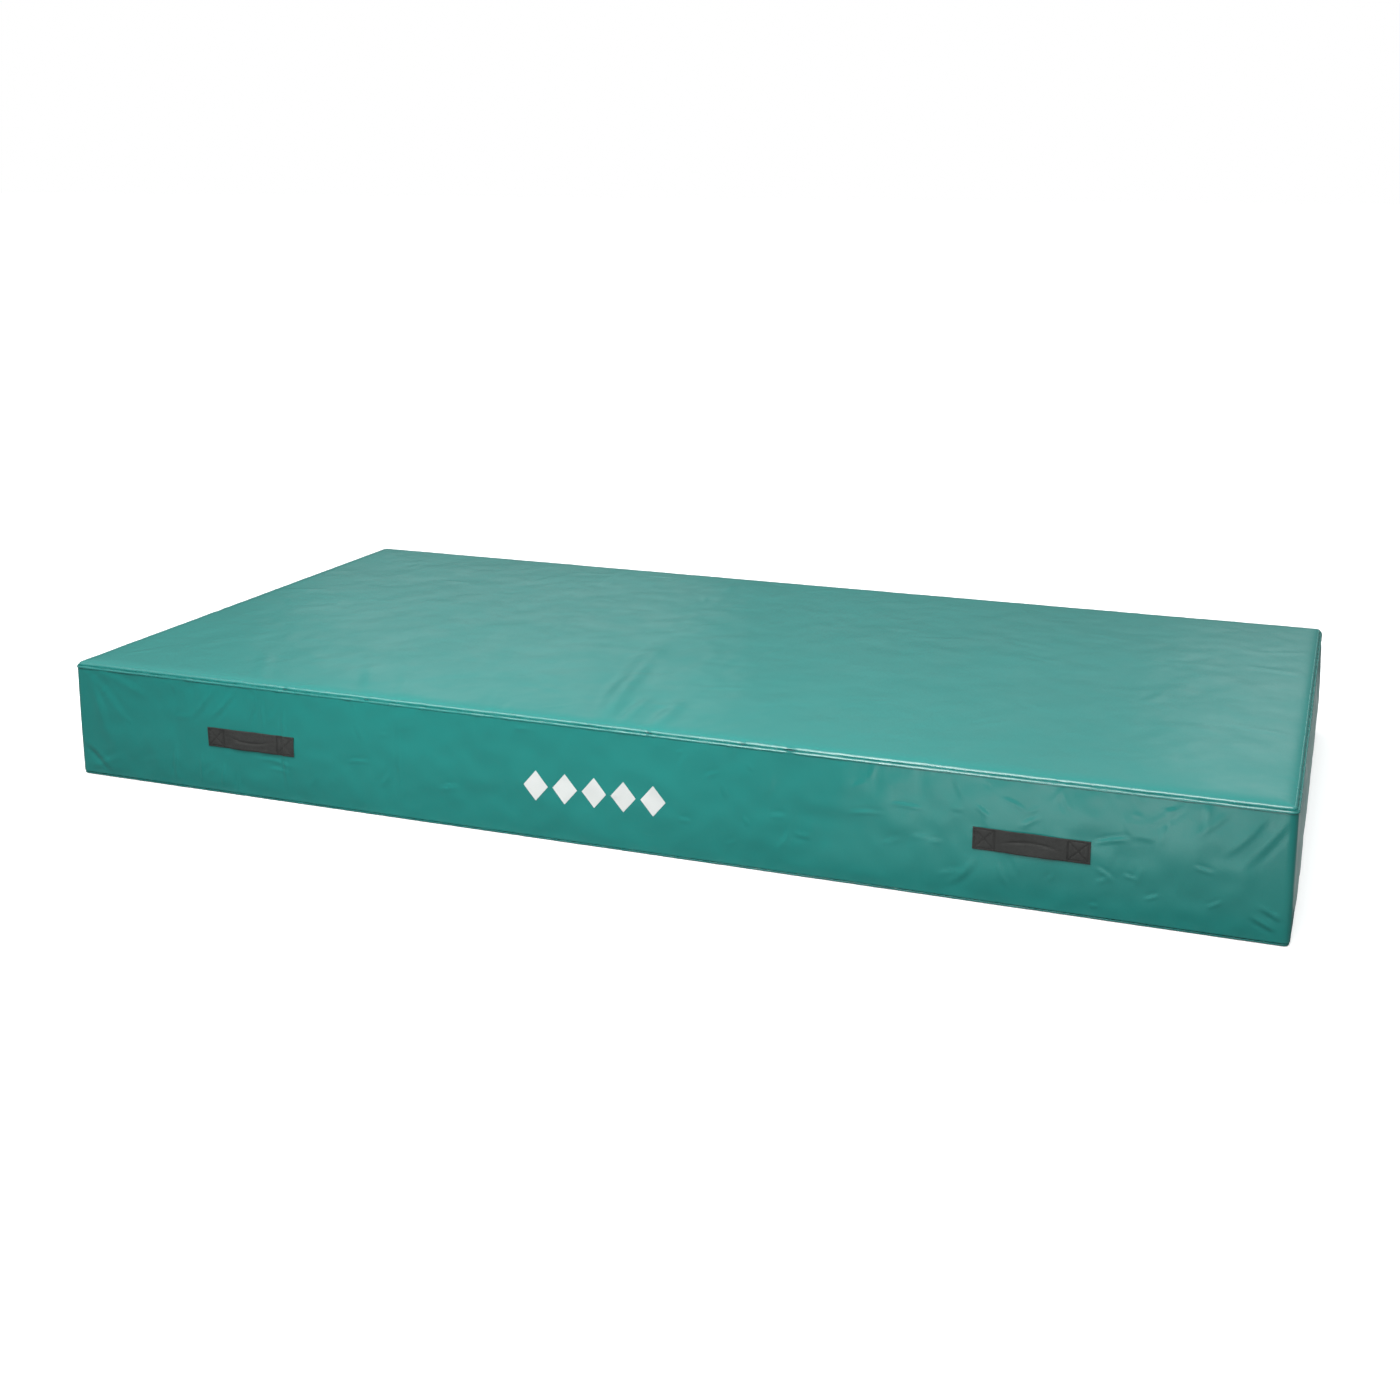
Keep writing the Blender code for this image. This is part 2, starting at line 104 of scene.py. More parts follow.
class Ripple:
    """Seeded gradient noise over a plane, about -1 to 1."""

    CELLS = 256

    def __init__(self, seed: int) -> None:
        """Draw the lattice of directions.

        Args:
            seed: fixes the draw.
        """
        angle = np.random.default_rng(seed).uniform(0.0, math.tau, (self.CELLS, self.CELLS))
        self.along, self.across = np.cos(angle), np.sin(angle)

    def __call__(self, u: Array, v: Array) -> Array:
        """Noise at each point.

        Args:
            u: first coordinate, in cells.
            v: second coordinate, in cells.

        Returns:
            One value for each point.
        """
        u, v = np.broadcast_arrays(np.asarray(u, float), np.asarray(v, float))
        i, j = np.floor(u).astype(int), np.floor(v).astype(int)
        f, g = u - i, v - j

        def corner(a: int, b: int) -> Array:
            row, column = (i + a) % self.CELLS, (j + b) % self.CELLS
            return self.along[row, column] * (f - a) + self.across[row, column] * (g - b)

        p, q = ease(f), ease(g)
        low = corner(0, 0) * (1 - p) + corner(1, 0) * p
        high = corner(0, 1) * (1 - p) + corner(1, 1) * p
        return 1.5 * (low * (1 - q) + high * q)


def smooth_lookup(table: Array, row: Array, column: Array, wrap: bool = False) -> Array:
    """Read a table between its entries with a cubic B-spline.

    Args:
        table: values on a regular grid.
        row: where to read, in rows.
        column: where to read, in columns.
        wrap: whether the rows close on themselves.

    Returns:
        The smoothed values.
    """
    rows, columns = table.shape
    i, j = np.floor(row).astype(int), np.floor(column).astype(int)
    f, g = row - i, column - j

    def weights(t: Array) -> tuple[Array, ...]:
        return ((1 - t) ** 3 / 6, (3 * t ** 3 - 6 * t ** 2 + 4) / 6,
                (-3 * t ** 3 + 3 * t ** 2 + 3 * t + 1) / 6, t ** 3 / 6)

    total = np.zeros(np.broadcast(row, column).shape)
    for a, row_weight in enumerate(weights(f)):
        at_row = (i + a - 1) % rows if wrap else np.clip(i + a - 1, 0, rows - 1)
        for b, column_weight in enumerate(weights(g)):
            at_column = np.clip(j + b - 1, 0, columns - 1)
            total += row_weight * column_weight * table[at_row, at_column]
    return total


@dataclass(frozen=True)
class Crease:
    """One fold in the fabric, along a straight or bent line that fades at both ends."""

    start: tuple[float, float]
    end: tuple[float, float]
    width: float
    depth: float
    bend: float = 0.0

    def lift(self, u: Array, v: Array) -> Array:
        """How far the fold lifts the fabric: a ridge with a shallow trough beside it.

        Args:
            u: first coordinate of each point.
            v: second coordinate of each point.

        Returns:
            The lift, in metres.
        """
        du, dv = self.end[0] - self.start[0], self.end[1] - self.start[1]
        length = math.hypot(du, dv)
        du, dv = du / length, dv / length
        along = ((u - self.start[0]) * du + (v - self.start[1]) * dv) / length
        off = (v - self.start[1]) * du - (u - self.start[0]) * dv
        off = off - self.bend * 4 * along * (1 - along)
        fade = ease(along / 0.35) * ease((1 - along) / 0.45)
        side = off / self.width
        return self.depth * fade * (np.exp(-side ** 2) - 0.55 * np.exp(-(side - 1.7) ** 2))


def join_lifts(creases: list[Crease], u: Array, v: Array) -> Array:
    """The lift of several creases together.

    Args:
        creases: the folds.
        u: first coordinate of each point.
        v: second coordinate of each point.

    Returns:
        The summed lift.
    """
    total = np.zeros(np.broadcast(u, v).shape)
    for crease in creases:
        total += crease.lift(u, v)
    return total


# --- meshes -------------------------------------------------------------------------------

def add_object(name: str, mesh: bpy.types.Mesh) -> bpy.types.Object:
    """Link a mesh as an object at the origin.

    Args:
        name: the piece's name.
        mesh: its mesh, in world coordinates.

    Returns:
        The new object.
    """
    piece = bpy.data.objects.new(name, mesh)
    bpy.context.scene.collection.objects.link(piece)
    return piece


def mesh_from(name: str, points: Array, faces: list[tuple[int, ...]] | Array,
              uv: Array | None = None) -> bpy.types.Mesh:
    """A smooth mesh from points and faces.

    Args:
        name: the mesh's name.
        points: one row of x, y, z for each vertex.
        faces: vertex numbers of each face.
        uv: one row of u, v for each vertex, in metres along the fabric.

    Returns:
        The mesh.
    """
    mesh = bpy.data.meshes.new(name)
    mesh.from_pydata(points.reshape(-1, 3).tolist(), [], [tuple(face) for face in faces])
    if uv is not None:
        layer = mesh.uv_layers.new(name="UVMap")
        corner = np.empty(len(mesh.loops), dtype=np.int32)
        mesh.loops.foreach_get("vertex_index", corner)
        layer.data.foreach_set("uv", uv.reshape(-1, 2)[corner].ravel())
    mesh.shade_smooth()
    mesh.update()
    return mesh


def grid_faces(rows: int, columns: int, first: int = 0, flip: bool = False) -> Array:
    """Quads over a grid of points stored row by row.

    Args:
        rows: rows of points.
        columns: points in a row.
        first: number of the grid's first point.
        flip: whether the faces turn the other way.

    Returns:
        One row of four vertex numbers for each quad.
    """
    i, j = np.meshgrid(np.arange(rows - 1), np.arange(columns - 1), indexing="ij")
    k = i + 1
    quads = np.stack((i * columns + j, k * columns + j, k * columns + j + 1, i * columns + j + 1), -1)
    quads = quads.reshape(-1, 4) + first
    return quads[:, ::-1] if flip else quads


def tube_faces(rings: int, around: int, first: int = 0, closed: bool = True) -> list[tuple[int, ...]]:
    """Quads round a run of rings, with end caps if the run is open.

    Args:
        rings: how many rings.
        around: points in a ring.
        first: number of the first point.
        closed: whether the last ring joins the first.

    Returns:
        The faces.
    """
    faces: list[tuple[int, ...]] = []
    for ring in range(rings if closed else rings - 1):
        here, there = ring * around, ((ring + 1) % rings) * around
        for spoke in range(around):
            after = (spoke + 1) % around
            faces.append((first + here + spoke, first + here + after,
                          first + there + after, first + there + spoke))
    if not closed:
        faces.append(tuple(first + spoke for spoke in range(around)))
        faces.append(tuple(first + (rings - 1) * around + spoke for spoke in reversed(range(around))))
    return faces


def point_outwards(piece: bpy.types.Object) -> None:
    """Turn every face outwards.

    Args:
        piece: a closed piece.
    """
    bm = bmesh.new()
    bm.from_mesh(piece.data)
    bmesh.ops.recalc_face_normals(bm, faces=bm.faces)
    bm.to_mesh(piece.data)
    bm.free()


def in_fours(length: float, step: float, edge: float = 0.0, edge_step: float = 0.0) -> Array:
    """Places from 0 to a length, closer together near both ends, in a count that divides by four.

    Args:
        length: the whole run.
        step: spacing in the middle.
        edge: how much of each end is finer.
        edge_step: spacing there.

    Returns:
        The places.
    """
    places = np.linspace(edge, length - edge, max(2, round((length - 2 * edge) / step) + 1))
    if edge > 0:
        fine = np.linspace(0.0, edge, max(2, round(edge / edge_step) + 1))
        places = np.concatenate((fine[:-1], places, length - fine[::-1][1:]))
    cells = places.size - 1
    wanted = 4 * math.ceil(cells / 4)
    return np.interp(np.linspace(0, cells, wanted + 1), np.arange(cells + 1), places)


# --- the mat's outline --------------------------------------------------------------------

@dataclass(frozen=True)
class Outline:
    """The mat seen from above: a rectangle with round corners, walked round from the back left.

    The walk starts where the straight back ends at the left, and goes round the left end, the
    front and the right end, then along the back. Distances along it are called s. The corners
    are a little squarer than a circle.
    """

    half_length: float
    half_width: float
    radius: float
    square: float = 3.2

    @property
    def quarter(self) -> float:
        """Length of one corner's curve."""
        return math.pi / 2 * self.radius

    @property
    def end_run(self) -> float:
        """Straight length of one end."""
        return 2 * (self.half_width - self.radius)

    @property
    def long_run(self) -> float:
        """Straight length of one long side."""
        return 2 * (self.half_length - self.radius)

    @property
    def front_start(self) -> float:
        """Where the straight front begins."""
        return 2 * self.quarter + self.end_run

    @property
    def back_start(self) -> float:
        """Where the straight back begins, at its right-hand end."""
        return self.front_start + self.long_run + 2 * self.quarter + self.end_run

    @property
    def total(self) -> float:
        """The whole walk."""
        return self.back_start + self.long_run

    def front_s(self, x: Array | float) -> Array | float:
        """Where a place on the front lies on the walk."""
        return self.front_start + x + self.half_length - self.radius

    def back_s(self, x: Array | float) -> Array | float:
        """Where a place on the back lies on the walk."""
        return self.back_start + self.half_length - self.radius - x

    def places(self, s: Array) -> tuple[Array, Array]:
        """Points and outward directions on the walk.

        Args:
            s: distances along it.

        Returns:
            Rows of x, y and rows of outward x, y.
        """
        s = np.mod(np.asarray(s, float), self.total)
        reach_x, reach_y = self.half_length - self.radius, self.half_width - self.radius
        runs = (("turn", (-reach_x, reach_y), 90.0), ("run", (-self.half_length, reach_y), (0.0, -1.0)),
                ("turn", (-reach_x, -reach_y), 180.0), ("run", (-reach_x, -self.half_width), (1.0, 0.0)),
                ("turn", (reach_x, -reach_y), 270.0), ("run", (self.half_length, -reach_y), (0.0, 1.0)),
                ("turn", (reach_x, reach_y), 0.0), ("run", (reach_x, self.half_width), (-1.0, 0.0)))
        lengths = (self.quarter, self.end_run, self.quarter, self.long_run) * 2
        point, normal = np.zeros((*s.shape, 2)), np.zeros((*s.shape, 2))
        start = 0.0
        for number, ((form, origin, facing), length) in enumerate(zip(runs, lengths)):
            inside = (s >= start) & (s < start + length)
            if number == len(lengths) - 1:
                inside = s >= start
            along = s[inside] - start
            if form == "turn":
                angle = np.radians(facing) + along / self.radius
                circle = np.stack((np.cos(angle), np.sin(angle)), -1)
                reach = (np.abs(circle) ** self.square).sum(-1, keepdims=True) ** (1 / self.square)
                point[inside] = np.array(origin) + self.radius * circle / reach
                direction = np.sign(circle) * np.abs(circle) ** (self.square - 1)
                direction /= np.linalg.norm(direction, axis=-1, keepdims=True)
            else:
                direction = np.broadcast_to((facing[1], -facing[0]), (along.size, 2))
                point[inside] = np.array(origin) + along[:, None] * np.array(facing)
            normal[inside] = direction
            start += length
        return point, normal

    def depth(self, x: Array, y: Array) -> Array:
        """How far inside the outline each point lies.

        Args:
            x: places along the mat.
            y: places across it.

        Returns:
            The depth at each place.
        """
        qx = np.abs(x) - (self.half_length - self.radius)
        qy = np.abs(y) - (self.half_width - self.radius)
        corner = np.maximum(qx, 0.0) ** self.square + np.maximum(qy, 0.0) ** self.square
        outside = corner ** (1 / self.square)
        return self.radius - outside - np.minimum(np.maximum(qx, qy), 0.0)

    def round_off(self, x: Array, y: Array, inset: float) -> tuple[Array, Array]:
        """Fit a rectangular grid's points into the rounded outline.

        Args:
            x: grid places from -half_length + inset to half_length - inset.
            y: grid places from -half_width + inset to half_width - inset.
            inset: how far the outline is drawn in.

        Returns:
            The rounded places.
        """
        radius = self.radius - inset
        reach_x, reach_y = self.half_length - self.radius, self.half_width - self.radius
        u = np.clip((np.abs(x) - reach_x) / radius, 0.0, 1.0)
        v = np.clip((np.abs(y) - reach_y) / radius, 0.0, 1.0)
        power = self.square
        new_x = np.minimum(np.abs(x), reach_x) + radius * u * (1 - v ** power / 2) ** (1 / power)
        new_y = np.minimum(np.abs(y), reach_y) + radius * v * (1 - u ** power / 2) ** (1 / power)
        return np.sign(x) * new_x, np.sign(y) * new_y


@dataclass(frozen=True)
class MatForm:
    """The mat's real sizes, read from the CAD frame."""

    outline: Outline
    height: float
    handle_z: float
    handle_half_length: float
    handle_half_free: float
    handle_half_width: float
    vents: tuple[tuple[float, float], ...]
    zip_z: float
    zip_half_slot: float

    @classmethod
    def from_frame(cls) -> MatForm:
        """Read every size from the CAD nodes' boxes."""
        _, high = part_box("top_seam")
        end_low, end_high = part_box("right_end_panel")
        grip_low, grip_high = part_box("front_right_handle_grip")
        sewn_low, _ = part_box("front_right_handle_end_1")
        _, sewn_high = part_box("front_right_handle_end_2")
        vents = []
        for number in (1, 2, 3):
            a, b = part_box(f"right_vent_eyelet_{number}")
            vents.append(((a[1] + b[1]) / 2, (a[2] + b[2]) / 2))
        upper_low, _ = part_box("back_upper_panel")
        _, lower_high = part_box("back_lower_panel")
        return cls(
            outline=Outline(high[0], high[1], end_high[0] - end_low[0]),
            height=high[2],
            handle_z=(grip_low[2] + grip_high[2]) / 2,
            handle_half_length=(sewn_high[0] - sewn_low[0]) / 2,
            handle_half_free=(grip_high[0] - grip_low[0]) / 2,
            handle_half_width=(grip_high[2] - grip_low[2]) / 2,
            vents=tuple(vents),
            zip_z=(upper_low[2] + lower_high[2]) / 2,
            zip_half_slot=(upper_low[2] - lower_high[2]) / 2,
        )


# --- camera, floor and light --------------------------------------------------------------

@dataclass(frozen=True)
class Studio:
    """A plain pale studio: floor, soft lights and the camera."""

    eye: tuple[float, float, float] = (1.557, -4.191, 1.523)
    azimuth: float = 19.78
    pitch: float = 11.42
    roll: float = 0.25
    lens: float = 44.39
    shift: tuple[float, float] = (-0.0304, -0.1235)
    floor_size: float = 240.0
    floor_drop: float = 0.0006
    horizon: tuple[float, tuple[float, ...]] = (0.12, (0.16, 0.165, 0.165, 1.0))
    sky: tuple[float, tuple[float, ...]] = (0.75, (0.80, 0.81, 0.82, 1.0))

    def place_camera(self) -> None:
        """Stand the camera where it looks along the front of the mat from the right."""
        data = bpy.data.cameras.new("camera")
        data.sensor_width = 36.0
        data.lens = self.lens
        data.shift_x, data.shift_y = self.shift
        camera = bpy.data.objects.new("camera", data)
        camera.location = self.eye
        level = Matrix.Rotation(math.radians(self.azimuth), 3, 'Z')
        tilt = Matrix.Rotation(math.radians(90.0 - self.pitch), 3, 'X')
        roll = Matrix.Rotation(math.radians(self.roll), 3, 'Z')
        camera.rotation_euler = (level @ tilt @ roll).to_euler()
        bpy.context.scene.collection.objects.link(camera)
        bpy.context.scene.camera = camera

    def lay_floor(self, material: bpy.types.Material) -> None:
        """A wide pale floor just under the mat.

        Args:
            material: the floor's finish.
        """
        half, drop = self.floor_size / 2, -self.floor_drop
        corners = np.array([(-half, -half, drop), (half, -half, drop), (half, half, drop),
                            (-half, half, drop)])
        floor = add_object("studio_floor", mesh_from("studio_floor", corners, [(0, 1, 2, 3)]))
        floor.data.materials.append(material)

    @staticmethod
    def soft_box(name: str, at: tuple[float, float, float], aim: tuple[float, float, float],
                 size: tuple[float, float], power: float, colour: Colour) -> bpy.types.Object:
        """One rectangular soft light.

        Args:
            name: its name.
            at: where it hangs.
            aim: the point that it faces.
            size: its width and height.
            power: its power in watts.
            colour: its colour.

        Returns:
            The light.
        """
        data = bpy.data.lights.new(name, 'AREA')
        data.shape = 'RECTANGLE'
        data.size, data.size_y = size
        data.energy = power
        data.color = colour
        light = bpy.data.objects.new(name, data)
        light.visible_camera = False
        light.location = at
        light.rotation_euler = (Vector(aim) - Vector(at)).to_track_quat('-Z', 'Y').to_euler()
        bpy.context.scene.collection.objects.link(light)
        return light

    def hang_lights(self) -> None:
        """A broad key and a strip above, a narrow beam on the front, and dim cards to be mirrored."""
        white = (1.0, 0.99, 0.98)
        self.soft_box("key", (0.5, -2.7, 4.2), (0.1, 0.0, 0.2), (3.6, 2.2), 178.0, white)
        self.soft_box("left_strip", (-2.5, -2.6, 4.2), (-0.6, -0.5, 0.2), (2.4, 0.8), 50.0, white)
        beam = self.soft_box("front_beam", (-0.3, -3.9, 2.2), (-0.2, -0.75, 0.2), (1.2, 0.8), 9.4, white)
        beam.data.spread = math.radians(66)
        broad = self.soft_box("floor_card", (1.0, -1.56, 0.02), (1.0, -1.56, 1.0), (1.0, 0.56), 7.6, white)
        near = self.soft_box("near_card", (1.1, -1.04, 0.02), (1.1, -1.04, 1.0), (1.3, 0.44), 0.5, white)
        broad.visible_diffuse = near.visible_diffuse = False
        self.soft_box("end_card", (1.67, 0.35, 0.02), (1.67, 0.35, 1.0), (0.32, 1.9), 0.7, white)
        self.soft_box("left_back_card", (-2.9, 4.3, 2.0), (-0.5, -0.4, 0.3), (2.4, 0.95), 5.6, white)
        self.soft_box("middle_back_card", (-0.3, 4.3, 1.95), (0.4, -0.4, 0.3), (1.9, 1.0), 1.5, white)
        self.soft_box("right_back_card", (1.35, 4.3, 2.0), (1.3, -0.4, 0.3), (1.1, 0.95), 3.7, white)

    def paint_world(self) -> None:
        """A pale surround that is white to look at, and greyer near the horizon for reflections."""
        world = bpy.data.worlds.new("studio")
        bpy.context.scene.world = world
        world.use_nodes = True
        world.node_tree.nodes.clear()
        sketch = Sketch(world.node_tree)
        place = sketch.add("ShaderNodeTexCoord")
        ramp = sketch.add("ShaderNodeValToRGB", {"Fac": sketch.split(place.outputs["Generated"])[2]})
        ramp.color_ramp.interpolation = 'EASE'
        first, last = ramp.color_ramp.elements[0], ramp.color_ramp.elements[1]
        first.position, first.color = self.horizon
        last.position, last.color = self.sky
        lit = sketch.add("ShaderNodeBackground", {"Color": ramp.outputs["Color"]})
        seen = sketch.add("ShaderNodeBackground", {"Color": (1.0, 1.0, 1.0, 1.0)})
        path = sketch.add("ShaderNodeLightPath")
        mix = sketch.add("ShaderNodeMixShader", {
            0: path.outputs["Is Camera Ray"], 1: lit.outputs[0], 2: seen.outputs[0]})
        sketch.add("ShaderNodeOutputWorld", {"Surface": mix.outputs[0]})

    def set_colour(self) -> None:
        """Show colours as they are, with no film curve."""
        view = bpy.context.scene.view_settings
        view.view_transform = 'Standard'
        view.look = 'None'
        view.exposure = 0.0


# --- finishes -----------------------------------------------------------------------------

class Sketch:
    """Short hand for adding nodes to a shader's tree or a Geometry Nodes one."""

    def __init__(self, tree: bpy.types.NodeTree) -> None:
        """Keep the tree."""
        self.tree = tree

    def feed(self, socket: bpy.types.NodeSocket, value: object) -> None:
        """Link a socket into an input, or set the input's value."""
        if isinstance(value, bpy.types.NodeSocket):
            self.tree.links.new(value, socket)
        else:
            socket.default_value = value

    def add(self, kind: str, inputs: dict[int | str, object] | None = None, **settings: object
            ) -> bpy.types.Node:
        """Add a node, set its properties and feed its inputs.

        Args:
            kind: the node's type.
            inputs: a socket or a value for each input, by the input's name or number.
            settings: properties to set on it.

        Returns:
            The node.
        """
        node = self.tree.nodes.new(kind)
        for key, value in settings.items():
            setattr(node, key, value)
        for key, value in (inputs or {}).items():
            self.feed(node.inputs[key], value)
        return node

    def sum(self, operation: str, *values: object) -> bpy.types.NodeSocket:
        """The output of one Math node that works on sockets or numbers."""
        return self.add("ShaderNodeMath", dict(enumerate(values)), operation=operation).outputs[0]

    def split(self, vector: bpy.types.NodeSocket) -> bpy.types.NodeOutputs:
        """A vector's three numbers."""
        return self.add("ShaderNodeSeparateXYZ", {0: vector}).outputs

    def spread(self, value: object, low: float, high: float, to_low: float, to_high: float
               ) -> bpy.types.NodeSocket:
        """Map a value from one range to another, clamped and eased.

        Args:
            value: what is mapped.
            low: start of its range.
            high: end of its range.
            to_low: what the start becomes.
            to_high: what the end becomes.

        Returns:
            The mapped value.
        """
        inputs = dict(enumerate((value, low, high, to_low, to_high)))
        return self.add("ShaderNodeMapRange", inputs, interpolation_type='SMOOTHSTEP').outputs[0]

    def noise(self, place: object, scale: object, detail: float = 2.0, rough: float = 0.5
              ) -> bpy.types.NodeSocket:
        """A Noise texture's value.

        Args:
            place: where it is read.
            scale: cells for each metre.
            detail: octaves.
            rough: strength of the finer octaves.

        Returns:
            Its value, about 0 to 1.
        """
        inputs = {"Vector": place, "Scale": scale, "Detail": detail, "Roughness": rough}
        return self.add("ShaderNodeTexNoise", inputs).outputs["Fac"]

    def blend(self, share: object, first: object, second: object) -> bpy.types.NodeSocket:
        """Mix two colours, where share is how much of the second shows."""
        return self.add("ShaderNodeMix", {0: share, 6: first, 7: second}, data_type='RGBA').outputs[2]

    def scale(self, colour: object, shade: object) -> bpy.types.NodeSocket:
        """A colour times a shade."""
        return self.add("ShaderNodeVectorMath", {0: colour, "Scale": shade}, operation='SCALE').outputs[0]


def new_group(name: str, inputs: dict[str, float | None], output: str
              ) -> tuple[Sketch, bpy.types.Node, bpy.types.NodeSocket]:
    """Start a shader node group that gives one number.

    Args:
        name: its name.
        inputs: each input's default number, or None for a vector.
        output: its output's name.

    Returns:
        The sketch, the group's input node and the socket of its output.
    """
    tree = bpy.data.node_groups.new(name, 'ShaderNodeTree')
    for label, default in inputs.items():
        kind = "NodeSocketVector" if default is None else "NodeSocketFloat"
        socket = tree.interface.new_socket(label, in_out='INPUT', socket_type=kind)
        if default is not None:
            socket.default_value = default
    tree.interface.new_socket(output, in_out='OUTPUT', socket_type="NodeSocketFloat")
    sketch = Sketch(tree)
    return sketch, sketch.add("NodeGroupInput"), sketch.add("NodeGroupOutput").inputs[output]


class Effects:
    """Node groups that more than one finish uses."""

    def __init__(self) -> None:
        """Build each group once."""
        self.weave = self._weave()
        self.mottle = self._mottle()
        self.scuffs = self._scuffs()
        self.dust = self._dust()

    @staticmethod
    def _weave() -> bpy.types.NodeTree:
        """Height of over-and-under threads, from a fabric's own map in metres."""
        sketch, start, height = new_group(
            "Weave", {"Map": None, "Pitch Along": 0.001, "Pitch Across": 0.001}, "Height")
        place, waves = sketch.split(start.outputs["Map"]), []
        for axis, pitch in enumerate(("Pitch Along", "Pitch Across")):
            turns = sketch.sum('DIVIDE', place[axis], start.outputs[pitch])
            waves.append(sketch.sum('SINE', sketch.sum('MULTIPLY', turns, math.pi)))
        warp = sketch.spread(sketch.sum('MULTIPLY', *waves), -0.15, 0.15, 0.0, 1.0)
        over, under = (sketch.sum('ABSOLUTE', wave) for wave in waves)
        sketch.feed(height, sketch.sum('MULTIPLY_ADD', sketch.sum('SUBTRACT', over, under), warp, under))
        return sketch.tree

    @staticmethod
    def _mottle() -> bpy.types.NodeTree:
        """Slow changes of shade over a surface, as a multiplier near 1."""
        sketch, start, shade = new_group("Mottle", {"Place": None, "Scale": 3.0, "Amount": 0.1}, "Shade")
        slow = sketch.noise(start.outputs["Place"], start.outputs["Scale"], 3.0, 0.55)
        centred = sketch.sum('SUBTRACT', slow, 0.5)
        sketch.feed(shade, sketch.sum('MULTIPLY_ADD', centred, start.outputs["Amount"], 1.0))
        return sketch.tree

    @staticmethod
    def _scuffs() -> bpy.types.NodeTree:
        """Thin dragged marks and rubbed patches, as a mask."""
        sketch, start, mask = new_group("Scuffs", {"Place": None, "Amount": 0.5}, "Mask")
        stretch = sketch.add("ShaderNodeMapping", {
            "Vector": start.outputs["Place"], "Rotation": (0.3, 0.2, 0.6), "Scale": (2.5, 42.0, 30.0)})
        lines = sketch.spread(sketch.noise(stretch.outputs[0], 1.0, 4.0, 0.65), 0.60, 0.74, 0.0, 1.0)
        patches = sketch.spread(sketch.noise(start.outputs["Place"], 2.3, 3.0, 0.6), 0.50, 0.66, 0.0, 1.0)
        marks = sketch.sum('MULTIPLY', lines, patches)
        sketch.feed(mask, sketch.sum('MULTIPLY', marks, start.outputs["Amount"]))
        return sketch.tree

    @staticmethod
    def _dust() -> bpy.types.NodeTree:
        """Chalk and dust that gathers near the floor, as a mask."""
        sketch, start, mask = new_group("Dust", {"Place": None, "Reach": 0.05, "Amount": 0.3}, "Mask")
        level = sketch.sum('DIVIDE', sketch.split(start.outputs["Place"])[2], start.outputs["Reach"])
        low = sketch.spread(level, 0.0, 1.0, 1.0, 0.0)
        broken = sketch.spread(sketch.noise(start.outputs["Place"], 34.0, 4.0, 0.65), 0.35, 0.75, 0.1, 1.0)
        sketch.feed(mask, sketch.sum('MULTIPLY', sketch.sum('MULTIPLY', low, broken),
                                     start.outputs["Amount"]))
        return sketch.tree


class Base:
    """A material being built: its Principled shader, its map and its place."""

    def __init__(self, name: str, effects: Effects) -> None:
        """Start an empty material.

        Args:
            name: its name.
            effects: the shared groups.
        """
        self.effects = effects
        self.material = bpy.data.materials.new(name)
        self.material.use_nodes = True
        self.sketch = Sketch(self.material.node_tree)
        self.shader = self.material.node_tree.nodes["Principled BSDF"]
        place = self.sketch.add("ShaderNodeTexCoord")
        self.place, self.map = place.outputs["Object"], place.outputs["UV"]

    def coat(self, **inputs: object) -> None:
        """Feed the shader. Spaces in its input names are written as underscores."""
        for key, value in inputs.items():
            self.sketch.feed(self.shader.inputs[key.replace("_", " ")], value)

    def group(self, tree: bpy.types.NodeTree, **inputs: object) -> bpy.types.NodeSocket:
        """A group's output. Spaces in its input names are written as underscores."""
        named = {key.replace("_", " "): value for key, value in inputs.items()}
        return self.sketch.add("ShaderNodeGroup", named, node_tree=tree).outputs[0]

    def weave(self, along: float, across: float) -> bpy.types.NodeSocket:
        """Height of woven threads with these pitches."""
        return self.group(self.effects.weave, Map=self.map, Pitch_Along=along, Pitch_Across=across)

    def mottled(self, colour: object, scale: float, amount: float) -> bpy.types.NodeSocket:
        """A colour whose shade changes slowly over the surface."""
        mottle = self.group(self.effects.mottle, Place=self.place, Scale=scale, Amount=amount)
        return self.sketch.scale(colour, mottle)

    def relief(self, height: object, distance: float, strength: float = 1.0) -> None:
        """Feed a height to the shader's normal through a Bump node.

        Args:
            height: the height socket, from 0 to 1.
            distance: what a height of 1 is, in metres.
            strength: how much of it shows.
        """
        inputs = {"Strength": strength, "Distance": distance, "Height": height}
        self.coat(Normal=self.sketch.add("ShaderNodeBump", inputs).outputs[0])


